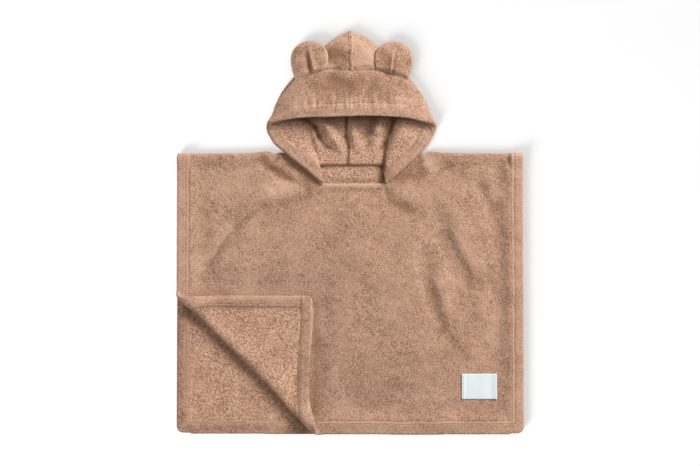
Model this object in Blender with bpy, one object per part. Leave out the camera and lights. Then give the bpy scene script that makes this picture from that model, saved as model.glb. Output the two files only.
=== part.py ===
"""Hooded bath poncho for a toddler, laid flat on its back, in seven sewn pieces.

X runs across the shoulders, Y from the hem up to the peak of the hood, and Z up from the
surface it lies on. Sizes are in millimetres until each mesh is finished, then in metres.
"""

import math

import bmesh
import bpy
import numpy as np
from mathutils import Vector
from mathutils.bvhtree import BVHTree

MM = 0.001

# Cloth
CLOTH = 3.0
LAYER_GAP = 0.3
SEAM_GAP = 0.5
PEAK_GAP = 1.5
SLOPE_STEP = 0.5

# Body: one rectangle of cloth folded over the shoulders
BODY_WIDTH = 600.0
BODY_FLARE = 2.0
SHOULDER_Y = 140.0
HEM_Y = -349.5
CORNER_RADIUS = 12.0
FOLD_RADIUS = 3.6
NECK_FOLD_RADIUS = 2.2
HEM_WIDTH = 22.0
HEM_STEP = 2.4
HEM_RISE = 26.0
STITCH_LINE = 18.2
STITCH_GROOVE = 0.7
STITCH_WIDTH = 1.8
EDGE_ROUND = 3.0
EDGE_THIN = 0.3
FRONT_LOFT = 2.8
LOFT_EDGE = 70.0
LOFT_TO_FOLD = 25.0
CREASE_EDGE = (10.0, 40.0)
LAID_EDGE = 4.0
FOLD_SETTLE = 26.0

# Neck hole, in cloth lengths: down the front, down the back, and its corners
NECK_FRONT_DROP = 54.0
NECK_BACK_DROP = 25.0
NECK_BACK_CORNER = 12.0
NECK_AT_FOLD = (-100.0, 112.0)
NECK_AT_FRONT = (-44.0, 57.0)
NECK_AT_BACK = (-78.0, 88.0)
NECK_RELEASE = 150.0
NECK_FLAT = 60.0
NECK_EDGE_SIDES = 9.0
NECK_PRESSED = (30.0, 60.0)
NECK_ROWS = (18.0, 30.0, 42.0)
NECK_ROW_BELOW = 4.0

# Front corner turned back over the diagonal
TURN_START = (-301.0, -106.0)
TURN_END = (-56.0, -349.0)
TURN_RADIUS = 5.0
TURN_HEM_EXTRA = 0.8
TURN_EASE = 0.965
TURN_SETTLE = 24.0
TURN_CUTS = (-9.0, 0.0, 4.0, 8.0, 12.0, 16.5, 24.0, 36.0)
FLAP_GAP = 0.6
FLAP_CORNER = (-58.0, -103.0)
FLAP_FLAT = 45.0
FLAP_DRAW = 13.0
FLAP_DRAW_START = (6.0, 70.0)
FLAP_DRAW_END = (70.0, 235.0)
FLAP_DRAW_WIDTH = 90.0

# Grid of the body: cloth columns from the side edges in, and rows from the fold out
SIDE_COLUMNS = (0.0, 2.2, 7.5, 16.0, 18.2, 20.8, 23.2, 38.0)
SHOULDER_STEPS = 7
NECK_STEPS = 9
BACK_ROWS = (70.0, 170.0, 280.0, 390.0)
FRONT_ROW_STEP = 23.0
ARC_ROWS = 3

# Soft ridges (+) and troughs (-) of the front: ends, half width and height
CREASES = [
    # x0, y0, x1, y1, half width, height
    (223, 84, 256, 30, 15, -3.0),
    (256, 30, 266, -22, 15, -2.4),
    (242, 80, 270, 40, 13, 2.2),
    (160, 8, 190, -65, 15, -3.2),
    (190, -65, 216, -92, 13, -2.4),
    (170, 42, 226, -52, 16, 3.0),
    (129, -45, 144, -112, 14, -2.8),
    (144, -112, 170, -175, 15, -2.2),
    (152, -70, 176, -140, 17, 2.4),
    (237, -50, 253, -92, 12, -2.4),
    (-47, -205, -52, -290, 14, -2.2),
    (-205, 8, -264, -62, 17, -2.0),
    (-182, -8, -240, -78, 16, 1.6),
    (-77, 94, -72, 62, 9, -2.6),
    (68, 74, 99, 36, 14, -2.4),
    (-148, 128, -123, 101, 9, -2.6),
    (-123, 101, -96, 91, 8, -2.0),
    (-139, 139, -128, 118, 10, 4.0),
    (150, 108, 117, 99, 9, -2.4),
    (140, 137, 133, 120, 9, 3.6),
    (96, 98, 110, 86, 10, -2.6),
    (20, 60, 24, -60, 26, 1.2),
    (-150, 60, -190, -40, 24, 1.2),
]

# Hood: the fold at its outline, and the hem that frames the face
HOOD_FOLD_RADIUS = 4.5
HOOD_HEM_WIDTH = 22.0
HOOD_HEM_STEP = 3.0
PRESSED_HEM = 0.75
CROWN_DOME = 3.0
BAND_DOME = 2.5
ARC_WEIGHT = 4.0
ARC_POINTS = 6
FOLD_PLACE = 6.0
TURN_PLACES = (6.0, 7.0, 8.0, 9.0)
TURN_SHARES = (0.5, 0.8, 0.9, 1.0)
ARC_PULL = (7.0, 20.0)
BAND_DOME_ROWS = (7.0, 9.5)
SEAM_EDGE = 0.35
SEAM_REACH = 4.0
DOME_REACH = 40.0
ROW_SCALE = 10.0
WIDTH_SCALE = 100.0
HOOD_ROWS = 27
HOOD_COLUMNS = 16
BAND_ACROSS = (0.0, 0.035, 0.2, 0.42, 0.62, 0.7, 0.76, 0.9, 0.97, 1.0)

# Centre seam, shared by both sides, from the back of the neck up to the peak
CENTRE_SEAM = [
    # x, y
    (-5, 117),
    (-4, 130),
    (-3, 147),
    (-4, 173),
    (-6, 206),
    (-5, 240),
    (-4, 257),
    (-3, 269),
    (-3, 281),
    (-2, 293),
    (-1, 305),
    (-1, 317),
    (0, 328),
    (0, 340),
]

# Hood, from the neck up and over to the middle of the forehead: the seam between side and
# band, the band's hem, the fold at the outline, and the row where the band turns over
HOOD_LEFT = [
    # seam x, y, z, hem x, y, z, fold x, y
    (-52, 118, 6.2, -47, 85, 9.4, -82, 118),
    (-56, 131, 4.0, -74, 108, 11.0, -100, 131),
    (-62, 146, 1.5, -104, 132, 13.0, -120, 146),
    (-70, 172, 1.5, -130, 153, 8.5, -130, 172),
    (-82, 198, 1.5, -140, 168, 2.6, -134, 198),
    (-108, 217, 1.8, -144, 176, 3.6, -131, 217),
    (-126.5, 224, 6.0, -145, 183, 9.0, -128, 224),
    (-122, 233, 10.4, -138, 187, 15.5, -126, 230),
    (-111, 248, 11.6, -122, 192, 19.0, -117, 247),
    (-93, 267, 12.4, -96, 198, 23.0, -99, 269),
    (-67, 276, 14.5, -66, 200, 26.0, -76, 291),
    (-38, 283, 17.0, -38, 200, 28.0, -50, 319),
    (-15, 281, 18.5, -16, 201, 29.0, -25, 339),
    (2, 281, 18.5, 2, 201, 29.0, 0, 351),
]
HOOD_RIGHT = [
    # seam x, y, z, hem x, y, z, fold x, y
    (57, 118, 6.2, 63, 85, 9.4, 90, 118),
    (59, 131, 4.0, 85, 103, 11.0, 108, 131),
    (63, 146, 1.5, 110, 126, 13.0, 124, 146),
    (71, 170, 1.5, 134, 151, 8.5, 134, 170),
    (84, 199, 1.5, 144, 168, 2.6, 138, 199),
    (110, 219, 1.8, 148, 176, 3.6, 134, 219),
    (128.5, 227, 6.0, 149, 183, 9.0, 130, 227),
    (123, 238, 10.4, 142, 187, 15.5, 127, 235),
    (112, 251, 11.6, 125, 193, 19.0, 118, 250),
    (96, 268, 12.4, 98, 199, 23.0, 101, 269),
    (70, 277, 14.5, 70, 201, 26.0, 79, 293),
    (42, 282, 17.0, 42, 202, 28.0, 53, 321),
    (17, 281, 18.5, 18, 202, 29.0, 28, 338),
    (2, 281, 18.5, 2, 201, 29.0, 0, 351),
]

# Ears
EAR_WIDTH = 65.0
EAR_HEIGHT = 56.0
EAR_PAD = 4.2
EAR_FALL_OUT = 0.12
EAR_FALL_BACK = 0.08
EAR_PLEAT_DEPTH = 3.2
EAR_PLEAT_WIDTH = 4.5
EAR_COLUMNS = 12
EAR_ROWS = 9
EAR_WIDEST = 0.46
EAR_FOOT = 0.86
EAR_TIP = 0.12
EAR_EDGE = 0.5
EARS = [
    # name, base x, base y, lean in degrees, height of its underside, pleat across
    ("ear_left", -68.0, 277.0, -5.0, 16.0, 0.12),
    ("ear_right", 73.0, 276.0, 7.0, 16.0, -0.18),
]

# Label
LABEL_SIZE = (61.0, 44.0)
LABEL_CENTRE = (224.6, -266.5)
LABEL_THICK = 1.0
LABEL_TURN = 5.0
LABEL_TURN_EXTRA = 0.6
LABEL_REST = 0.4
LABEL_FOLD = 1.5
LABEL_STEPS = 5

COLOURS = {
    # linear red, green, blue and roughness
    "plush": ((0.50, 0.31, 0.22), 0.95),
    "label": ((0.86, 0.88, 0.88), 0.60),
}


def smooth(low, high, value):
    """Rise from 0 at low to 1 at high with level ends."""
    t = np.clip((value - low) / (high - low), 0.0, 1.0)
    return t * t * (3.0 - 2.0 * t)


def rounded(distance, reach):
    """Share of the full thickness left at this distance from a rounded edge."""
    t = np.clip(distance / reach, 0.0, 1.0)
    return EDGE_THIN + (1.0 - EDGE_THIN) * math.sqrt(1.0 - (1.0 - t) ** 2)


def curve_row(rows, place):
    """Read a table of rows as one smooth curve, at a place counted in rows."""
    rows = np.asarray(rows, dtype=float)
    last = len(rows) - 1
    index = min(int(place), last - 1)
    t = place - index
    before = rows[max(index - 1, 0)]
    start = rows[index]
    end = rows[index + 1]
    after = rows[min(index + 2, last)]
    bend = 2.0 * before - 5.0 * start + 4.0 * end - after
    twist = 3.0 * (start - end) + after - before
    return start + 0.5 * t * ((end - before) + t * (bend + t * twist))


# Cloth walls ---------------------------------------------------------------------------


def cloth_grid(columns, rows):
    """A flat grid whose points lie at the given columns and rows."""
    mesh = bmesh.new()
    across = len(columns) - 1
    along = len(rows) - 1
    bmesh.ops.create_grid(mesh, x_segments=across, y_segments=along, size=1.0)
    for vertex in mesh.verts:
        column = round((vertex.co.x + 1.0) / 2.0 * across)
        row = round((vertex.co.y + 1.0) / 2.0 * along)
        vertex.co = (columns[column], rows[row], 0.0)
    return mesh


def close_wall(mesh):
    """Double a flat cloth into a closed wall: its outer skin at Z 1, its inner one at 0."""
    grown = bmesh.ops.extrude_face_region(mesh, geom=list(mesh.faces))
    for item in grown["geom"]:
        if isinstance(item, bmesh.types.BMVert):
            item.co.z = 1.0
    bmesh.ops.recalc_face_normals(mesh, faces=list(mesh.faces))


def surface_normal(middle, a, b):
    """Unit normal of a cloth's middle surface, on its outer side."""
    step = SLOPE_STEP
    along_a = middle(a + step, b) - middle(a - step, b)
    along_b = middle(a, b + step) - middle(a, b - step)
    normal = np.cross(along_a, along_b)
    return normal / np.linalg.norm(normal)


def place_wall(mesh, middle, offsets, flip=False):
    """Move both skins of a closed wall to their places around its middle surface."""
    for vertex in mesh.verts:
        a, b, skin = vertex.co
        inner, outer = offsets(a, b)
        normal = surface_normal(middle, a, b)
        if flip:
            normal = -normal
        distance = outer if skin > 0.5 else -inner
        spot = middle(a, b) + normal * distance
        vertex.co = (spot[0], spot[1], max(spot[2], 0.0))
    if flip:
        bmesh.ops.reverse_faces(mesh, faces=list(mesh.faces))


def finish(name, mesh, finish_name):
    """Turn a finished mesh in millimetres into a named object with its material."""
    bmesh.ops.scale(mesh, vec=(MM, MM, MM), verts=list(mesh.verts))
    data = bpy.data.meshes.new(name)
    mesh.to_mesh(data)
    mesh.free()
    data.shade_smooth()
    data.set_sharp_from_angle(angle=math.radians(60.0))
    data.materials.append(material(finish_name))
    made = bpy.data.objects.new(name, data)
    bpy.context.collection.objects.link(made)
    return made


def material(name):
    found = bpy.data.materials.get(name)
    if found:
        return found
    colour, roughness = COLOURS[name]
    made = bpy.data.materials.new(name)
    made.use_nodes = True
    shader = made.node_tree.nodes["Principled BSDF"]
    shader.inputs["Base Color"].default_value = (*colour, 1.0)
    shader.inputs["Roughness"].default_value = roughness
    shader.inputs["Metallic"].default_value = 0.0
    return made


# Body ----------------------------------------------------------------------------------


def fold_y(radius):
    """Y of the centre that the shoulder fold turns about."""
    return SHOULDER_Y - radius - CLOTH / 2.0


BODY_LENGTH = fold_y(FOLD_RADIUS) + math.pi * FOLD_RADIUS / 2.0 - HEM_Y


def half_width(s):
    return BODY_WIDTH / 2.0 + BODY_FLARE * abs(s) / BODY_LENGTH


def hem_at(x, s):
    """1 on the turned hem round the body, 0 on the plain cloth."""
    distance = edge_distance(x, s)
    return 1.0 - smooth(HEM_WIDTH - HEM_STEP / 2.0, HEM_WIDTH + HEM_STEP / 2.0, distance)


def hem_rise(x, s):
    """How far the hems lift the cloth that lies on them, easing down beside them."""
    return 1.0 - smooth(HEM_WIDTH - HEM_STEP / 2.0, HEM_WIDTH + HEM_RISE, edge_distance(x, s))


def edge_distance(x, s):
    return min(half_width(s) - abs(x), BODY_LENGTH - abs(s))


def crease_height(x, y):
    """Sum of the soft ridges and troughs at a point of the front."""
    total = 0.0
    for x0, y0, x1, y1, width, height in CREASES:
        run = (x1 - x0, y1 - y0)
        length = math.hypot(*run)
        along = ((x - x0) * run[0] + (y - y0) * run[1]) / length
        across = ((x - x0) * run[1] - (y - y0) * run[0]) / length
        beyond = max(-along, along - length, 0.0)
        reach = (across / width) ** 2 + (beyond / width) ** 2
        total += height * math.exp(-reach)
    return total


def neck_distance(x, y):
    """How far a point of the front lies outside the neck hole's rim."""
    left, right = NECK_AT_FOLD
    low_left, low_right = NECK_AT_FRONT
    top = fold_y(FOLD_RADIUS)
    bottom = top - NECK_FRONT_DROP
    drop = np.clip((top - y) / (top - bottom), 0.0, 1.0)
    near_x = np.clip(x, left + (low_left - left) * drop, right + (low_right - right) * drop)
    return math.hypot(x - near_x, min(y - bottom, 0.0))


def front_loft(x, y):
    """Air under the front, over its flat place on the back."""
    from_edge = min(BODY_WIDTH / 2.0 - abs(x), y - HEM_Y, SHOULDER_Y - y + LOFT_TO_FOLD)
    loft = FRONT_LOFT * smooth(HEM_WIDTH, LOFT_EDGE, from_edge)
    loft += crease_height(x, y) * smooth(*CREASE_EDGE, from_edge)
    loft = 0.5 * (loft + math.hypot(loft, 0.5))
    corner_x, corner_y = FLAP_CORNER
    from_flap = math.hypot(max(x - corner_x, 0.0), max(y - corner_y, 0.0))
    loft *= smooth(LAID_EDGE, FLAP_FLAT, from_flap)
    return loft * smooth(LAID_EDGE, NECK_FLAT, neck_distance(x, y))


def front_height(x, s, y):
    """Height of the front cloth's middle where it lies on the back."""
    rise = hem_rise(x, s)
    under = CLOTH * (1.0 + rise) + LAYER_GAP
    inner = CLOTH * (0.5 + rise)
    return under + inner + front_loft(x, y)


def shoulder_radius(x):
    """Radius of the shoulder fold: fuller at the hems, pressed flat beside the neck."""
    beside = min(abs(x - NECK_AT_FOLD[0]), abs(x - NECK_AT_FOLD[1]))
    let_out = smooth(*NECK_PRESSED, beside)
    plain = NECK_FOLD_RADIUS + (FOLD_RADIUS - NECK_FOLD_RADIUS) * let_out
    return plain + CLOTH * hem_at(x, 0.0)


def lay_on_body(x, s):
    """The folded cloth's middle, before its corner is turned back."""
    radius = shoulder_radius(x)
    quarter = math.pi * radius / 2.0
    centre_y = fold_y(radius)
    if s < -quarter:
        return np.array((x, centre_y + s + quarter, CLOTH / 2.0))
    if s <= quarter:
        angle = s / radius
        y = centre_y + radius * math.cos(angle)
        return np.array((x, y, CLOTH / 2.0 + radius * (1.0 + math.sin(angle))))
    y = centre_y - (s - quarter)
    rest = front_height(x, s, y)
    top = CLOTH / 2.0 + 2.0 * radius
    settle = smooth(0.0, FOLD_SETTLE, s - quarter)
    return np.array((x, y, top + (rest - top) * settle))


def round_corner(x, s):
    """Round the cloth's four corners off."""
    beside = 1.0 - (half_width(s) - abs(x)) / CORNER_RADIUS
    beyond = 1.0 - (BODY_LENGTH - abs(s)) / CORNER_RADIUS
    if min(beside, beyond) <= 0.0:
        return x, s
    drawn_x = CORNER_RADIUS * beside * (1.0 - math.sqrt(1.0 - beyond**2 / 2.0))
    drawn_s = CORNER_RADIUS * beyond * (1.0 - math.sqrt(1.0 - beside**2 / 2.0))
    return x - math.copysign(drawn_x, x), s - math.copysign(drawn_s, s)


def turn_frame():
    """Start of the diagonal fold, pulled in by the roll, and its direction to the corner."""
    start = np.array(TURN_START)
    run = np.array(TURN_END) - start
    outward = np.array((run[1], -run[0])) / np.linalg.norm(run)
    return start - outward * (TURN_RADIUS + CLOTH / 2.0), outward


def draw_flap(place):
    """Draw the turned corner's side hem in towards the fold's lower end."""
    from_end = math.hypot(place[0] - TURN_END[0], place[1] - TURN_END[1])
    drawn = smooth(*FLAP_DRAW_START, from_end) * (1.0 - smooth(*FLAP_DRAW_END, from_end))
    drawn *= smooth(-FLAP_DRAW_WIDTH, 0.0, place[0] - FLAP_CORNER[0])
    return place - np.array((FLAP_DRAW * drawn, 0.0))


def body_middle(x, s):
    """The cloth's middle surface, with the front corner turned back over its diagonal."""
    x, s = round_corner(x, s)
    flat = lay_on_body(x, s)
    start, outward = turn_frame()
    past = float(np.dot(flat[:2] - start, outward))
    if s <= 0.0 or past <= 0.0:
        return flat
    at_fold = flat[:2] - outward * past
    fold_s = s + (flat[1] - at_fold[1])
    radius = TURN_RADIUS + TURN_HEM_EXTRA * hem_rise(at_fold[0], fold_s)
    low = front_height(at_fold[0], fold_s, at_fold[1])
    if past < math.pi * radius:
        angle = past / radius
        place = draw_flap(at_fold + outward * radius * math.sin(angle))
        return np.array((*place, low + radius * (1.0 - math.cos(angle))))
    back = past - math.pi * radius
    place = draw_flap(at_fold - outward * back * TURN_EASE)
    under_s = s + (flat[1] - place[1])
    rest = front_height(place[0], under_s, place[1]) + CLOTH + FLAP_GAP
    high = low + 2.0 * radius
    settle = math.exp(-((back / TURN_SETTLE) ** 2))
    return np.array((*place, rest + max(high - rest, 0.0) * settle))


def body_offsets(x, s):
    """Thickness on each side: the hem is turned to the inside and stitched down."""
    distance = edge_distance(x, s)
    outer = CLOTH / 2.0
    inner = CLOTH / 2.0 + CLOTH * hem_at(x, s)
    if s > 0.0:
        outer -= STITCH_GROOVE * math.exp(-(((distance - STITCH_LINE) / STITCH_WIDTH) ** 2))
    share = rounded(min(distance, neck_edge(x, s)), EDGE_ROUND)
    middle = (outer - inner) / 2.0
    half = (outer + inner) / 2.0 * share
    return half - middle, half + middle


def neck_edge(x, s):
    """Cloth distance to the rim of the neck hole on the front."""
    left, right = NECK_AT_FRONT
    beside = not left - NECK_EDGE_SIDES < x < right + NECK_EDGE_SIDES
    if beside or s < NECK_FRONT_DROP - 1.0:
        return EDGE_ROUND
    return s - NECK_FRONT_DROP


def pinch(value, corners_in, corners_out, edge):
    """Draw columns in towards the neck hole's corners, and let them out to the side edges."""
    left, right = corners_in
    to_left, to_right = corners_out
    if value < left:
        return -edge + (value + edge) * (to_left + edge) / (left + edge)
    if value > right:
        return edge - (edge - value) * (edge - to_right) / (edge - right)
    return to_left + (value - left) * (to_right - to_left) / (right - left)


def shape_neck(x, s):
    """Bend the body's grid so its lines follow the rim of the neck hole."""
    edge = BODY_WIDTH / 2.0 - SIDE_COLUMNS[-1]
    if abs(x) >= edge:
        return x, s
    if s >= 0.0:
        amount = min(s / NECK_FRONT_DROP, 1.0)
        amount *= 1.0 - smooth(NECK_FRONT_DROP, NECK_FRONT_DROP + NECK_RELEASE, s)
        return x + (pinch(x, NECK_AT_FOLD, NECK_AT_FRONT, edge) - x) * amount, s
    amount = min(-s / NECK_BACK_DROP, 1.0)
    release = smooth(NECK_BACK_DROP, NECK_BACK_DROP + NECK_RELEASE, -s)
    drawn = x + (pinch(x, NECK_AT_FOLD, NECK_AT_BACK, edge) - x) * amount * (1.0 - release)
    middle = sum(NECK_AT_FOLD) / 2.0
    reach = (NECK_AT_FOLD[1] - NECK_AT_FOLD[0]) / 2.0
    from_middle = min(abs(x - middle) / reach, 1.0) ** 4
    raised = (NECK_BACK_DROP - NECK_BACK_CORNER) * from_middle * amount
    outside = smooth(edge, reach, abs(x - middle)) if abs(x - middle) > reach else 1.0
    return drawn, s + raised * (1.0 - release) * outside


def body_columns():
    left, right = NECK_AT_FOLD
    edge = BODY_WIDTH / 2.0
    inner = edge - SIDE_COLUMNS[-1]
    sides = [-edge + offset for offset in SIDE_COLUMNS]
    left_part = np.linspace(-inner, left, SHOULDER_STEPS + 1)[1:]
    neck_part = np.linspace(left, right, NECK_STEPS + 1)[1:]
    right_part = np.linspace(right, inner, SHOULDER_STEPS)[1:]
    far_side = [edge - offset for offset in reversed(SIDE_COLUMNS[:-1])]
    return [*sides, *left_part, *neck_part, *right_part, *far_side]


def body_rows():
    quarter = math.pi * (FOLD_RADIUS + CLOTH) / 2.0
    hem_rows = [BODY_LENGTH - offset for offset in reversed(SIDE_COLUMNS)]
    count = round((hem_rows[0] - NECK_FRONT_DROP) / FRONT_ROW_STEP)
    panel = np.linspace(NECK_FRONT_DROP + NECK_ROW_BELOW, hem_rows[0], count + 1)[:-1]
    front = [*NECK_ROWS, NECK_FRONT_DROP, *panel, *hem_rows]
    back = [-s for s in (NECK_BACK_DROP, *BACK_ROWS, *hem_rows)]
    arc = np.linspace(-quarter, quarter, 2 * ARC_ROWS + 1)
    return [*reversed(back), *arc, *front]


def cut_neck(mesh):
    """Remove the faces inside the neck hole."""
    left, right = NECK_AT_FOLD
    inside = []
    for face in mesh.faces:
        centre = face.calc_center_median()
        if left < centre.x < right and -NECK_BACK_DROP < centre.y < NECK_FRONT_DROP:
            inside.append(face)
    bmesh.ops.delete(mesh, geom=inside, context="FACES")


def cut_turn_lines(mesh):
    """Add cuts along the turned corner's fold, so the cloth can roll there."""
    start, outward = turn_frame()
    radius = FOLD_RADIUS
    start_s = fold_y(radius) + math.pi * radius / 2.0 - start[1]
    normal = (outward[0], -outward[1], 0.0)
    for distance in TURN_CUTS:
        point = (start[0] + outward[0] * distance, start_s - outward[1] * distance, 0.0)
        corner = [face for face in mesh.faces if front_corner(face)]
        near = corner + list({edge for face in corner for edge in face.edges})
        near += list({vertex for face in corner for vertex in face.verts})
        bmesh.ops.bisect_plane(mesh, geom=near, plane_co=point, plane_no=normal)


def front_corner(face):
    centre = face.calc_center_median()
    return centre.x < 0.0 and centre.y > BODY_LENGTH / 3.0


def make_body():
    mesh = cloth_grid(body_columns(), body_rows())
    cut_neck(mesh)
    for vertex in mesh.verts:
        x, s = shape_neck(vertex.co.x, vertex.co.y)
        flare = 1.0 + BODY_FLARE * abs(s) / BODY_LENGTH / (BODY_WIDTH / 2.0)
        vertex.co = (x * flare, s, 0.0)
    cut_turn_lines(mesh)
    close_wall(mesh)
    place_wall(mesh, body_middle, body_offsets, flip=True)
    return finish("body", mesh, "plush")


# Hood ----------------------------------------------------------------------------------


def hood_row(table, place):
    """Seam, hem and fold points of the hood at one place along its length."""
    row = curve_row(table, place)
    centre = curve_row(CENTRE_SEAM, place)
    return {"seam": row[0:3], "hem": row[3:6], "fold": row[6:8], "centre": centre}


def outline_out(table, place):
    """Outward direction of the hood's outline at one place along it."""
    last = len(table) - 1
    if place >= last - 1e-6:
        return np.array((0.0, 1.0))
    run = curve_row(table, min(place + 0.2, last))[6:8]
    run = run - curve_row(table, max(place - 0.2, 0.0))[6:8]
    run = run / np.linalg.norm(run)
    side = math.copysign(1.0, table[0][0])
    out = np.array((run[1], -run[0])) * side
    blend = smooth(last - 1.5, last, place)
    out = out * (1.0 - blend) + np.array((0.0, 1.0)) * blend
    return out / np.linalg.norm(out)


def side_path(table, place):
    """One section of a hood side: along the floor, round the fold and over to the seam."""
    row = hood_row(table, place)
    last = len(table) - 1.0
    side = math.copysign(1.0, table[0][0])
    peak_gap = (PEAK_GAP - SEAM_GAP) * smooth(last - 1.5, last, place)
    seam = row["seam"] + np.array((side * peak_gap, 0.0, 0.0))
    centre = row["centre"] + np.array((side * (SEAM_GAP + peak_gap), 0.0))
    inward = (seam[:2] - centre) / np.linalg.norm(seam[:2] - centre)
    if place < FOLD_PLACE:
        return floor_path(centre, seam, inward, place)
    radius = HOOD_FOLD_RADIUS
    turn = math.pi * float(np.interp(place, TURN_PLACES, TURN_SHARES))
    meet = smooth(FOLD_PLACE, FOLD_PLACE + 1.5, place)
    out = inward * (1.0 - meet) + outline_out(table, place) * meet
    out = out / np.linalg.norm(out)
    heart = row["fold"] - out * (radius + CLOTH / 2.0)
    heart[0] += side * peak_gap
    low = CLOTH / 2.0
    points = [(*(centre + (heart - centre) * t), low) for t in (0.0, 0.5, 1.0)]
    weights = [1.0, 1.0]
    end = heart + out * radius * math.sin(turn)
    end = np.array((*end, low + radius * (1.0 - math.cos(turn))))
    short = (seam - end) * (1.0 - smooth(*ARC_PULL, np.linalg.norm(seam - end)))
    for step in range(1, ARC_POINTS + 1):
        angle = turn * step / ARC_POINTS
        spot = heart + out * radius * math.sin(angle)
        spot = np.array((*spot, low + radius * (1.0 - math.cos(angle))))
        points.append(spot + short * (step / ARC_POINTS) ** 2)
        weights.append(ARC_WEIGHT)
    top = points[-1]
    reach = np.linalg.norm(seam - top)
    if reach > 0.01:
        for t in (0.2, 0.4, 0.6, 0.8, 1.0):
            spot = top + (seam - top) * t
            spot[2] += CROWN_DOME * math.sin(math.pi * t) * min(reach / DOME_REACH, 1.0)
            points.append(spot)
            weights.append(1.0)
    return np.array(points), np.array(weights)


def floor_path(centre, seam, inward, place):
    """A section that stays on the floor and only lifts where it meets its seam."""
    low = CLOTH / 2.0
    curled = smooth(FOLD_PLACE - 2.0, FOLD_PLACE - 1.0, place)
    length = np.linalg.norm(seam[:2] - centre)
    rise = length / 2.0 + (HOOD_FOLD_RADIUS - length / 2.0) * curled
    points = [(*centre, low), (*(seam[:2] - inward * rise), low)]
    weights = [1.0]
    for step in range(1, ARC_POINTS + 1):
        t = step / ARC_POINTS
        spot = seam[:2] - inward * rise * (1.0 - t)
        points.append((*spot, low + (seam[2] - low) * t * t))
        weights.append(1.0 + (ARC_WEIGHT - 1.0) * smooth(FOLD_PLACE - 1.0, FOLD_PLACE, place))
    return np.array(points), np.array(weights)


def along_path(points, weights, share):
    """Point at a share of a path's weighted length."""
    lengths = np.linalg.norm(np.diff(points, axis=0), axis=1) * weights
    ends = np.concatenate(([0.0], np.cumsum(lengths)))
    target = share * ends[-1]
    return np.array([np.interp(target, ends, points[:, axis]) for axis in range(3)])


def hood_places(table):
    return np.linspace(0.0, len(table) - 1.0, HOOD_ROWS)


def make_hood_side(name, table):
    """One side of the hood, from the centre seam round the fold to the band."""
    shares = np.linspace(0.0, 1.0, HOOD_COLUMNS)
    last = len(table) - 1.0

    def middle(a, b):
        points, weights = side_path(table, float(np.clip(b / ROW_SCALE, 0.0, last)))
        return along_path(points, weights, float(np.clip(a / WIDTH_SCALE, 0.0, 1.0)))

    def offsets(a, b):
        edge = min(a, WIDTH_SCALE - a, b * WIDTH_SCALE / ROW_SCALE / SEAM_REACH)
        half = CLOTH / 2.0 * (SEAM_EDGE + (1.0 - SEAM_EDGE) * smooth(0.0, SEAM_REACH, edge))
        return half, half

    rows = [place * ROW_SCALE for place in hood_places(table)]
    mesh = cloth_grid([share * WIDTH_SCALE for share in shares], rows)
    close_wall(mesh)
    place_wall(mesh, middle, offsets, flip=table[0][0] > 0.0)
    return finish(name, mesh, "plush")


def band_section(table, place):
    row = hood_row(table, place)
    seam = row["seam"].copy()
    toward = row["hem"] - seam
    seam += toward / np.linalg.norm(toward) * SEAM_GAP * 2.0
    seam[0] += math.copysign(SEAM_GAP * 2.0, seam[0]) * (1.0 - smooth(1.0, 3.0, place))
    return seam, row["hem"]


def make_band():
    """The strip round the face, from the left neck over the brow to the right neck."""
    last = len(HOOD_LEFT) - 1.0
    left = hood_places(HOOD_LEFT)
    rows = [p - last for p in left] + [last - p for p in reversed(left[:-1])]

    def middle(a, b):
        place = min(last - abs(b / ROW_SCALE), last)
        seam, hem = band_section(HOOD_LEFT if b < 0.0 else HOOD_RIGHT, max(place, 0.0))
        t = float(np.clip(a / WIDTH_SCALE, 0.0, 1.0))
        spot = seam + (hem - seam) * t
        raised = smooth(*BAND_DOME_ROWS, place)
        spot[2] += BAND_DOME * math.sin(math.pi * t) * raised
        return spot

    def offsets(a, b):
        place = max(last - abs(b / ROW_SCALE), 0.0)
        seam, hem = band_section(HOOD_LEFT if b < 0.0 else HOOD_RIGHT, place)
        width = np.linalg.norm(hem - seam)
        from_hem = (1.0 - a / WIDTH_SCALE) * width
        step = HEM_STEP / 2.0
        hem_share = 1.0 - smooth(HOOD_HEM_WIDTH - step, HOOD_HEM_WIDTH + step, from_hem)
        hem_share *= 1.0 - PRESSED_HEM * math.exp(-((place - FOLD_PLACE) ** 2))
        inner = CLOTH / 2.0 + HOOD_HEM_STEP * hem_share
        outer = CLOTH / 2.0
        share = rounded(from_hem, EDGE_ROUND)
        from_seam = smooth(0.0, SEAM_REACH, a / WIDTH_SCALE * width)
        seam_share = SEAM_EDGE + (1.0 - SEAM_EDGE) * from_seam
        middle_line = (outer - inner) / 2.0
        half = (outer + inner) / 2.0 * share * seam_share
        return half - middle_line * share, half + middle_line * share

    across = [t * WIDTH_SCALE for t in BAND_ACROSS]
    mesh = cloth_grid(across, [place * ROW_SCALE for place in rows])
    close_wall(mesh)
    place_wall(mesh, middle, offsets)
    return finish("hood_band", mesh, "plush")


# Ears and label ------------------------------------------------------------------------


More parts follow.
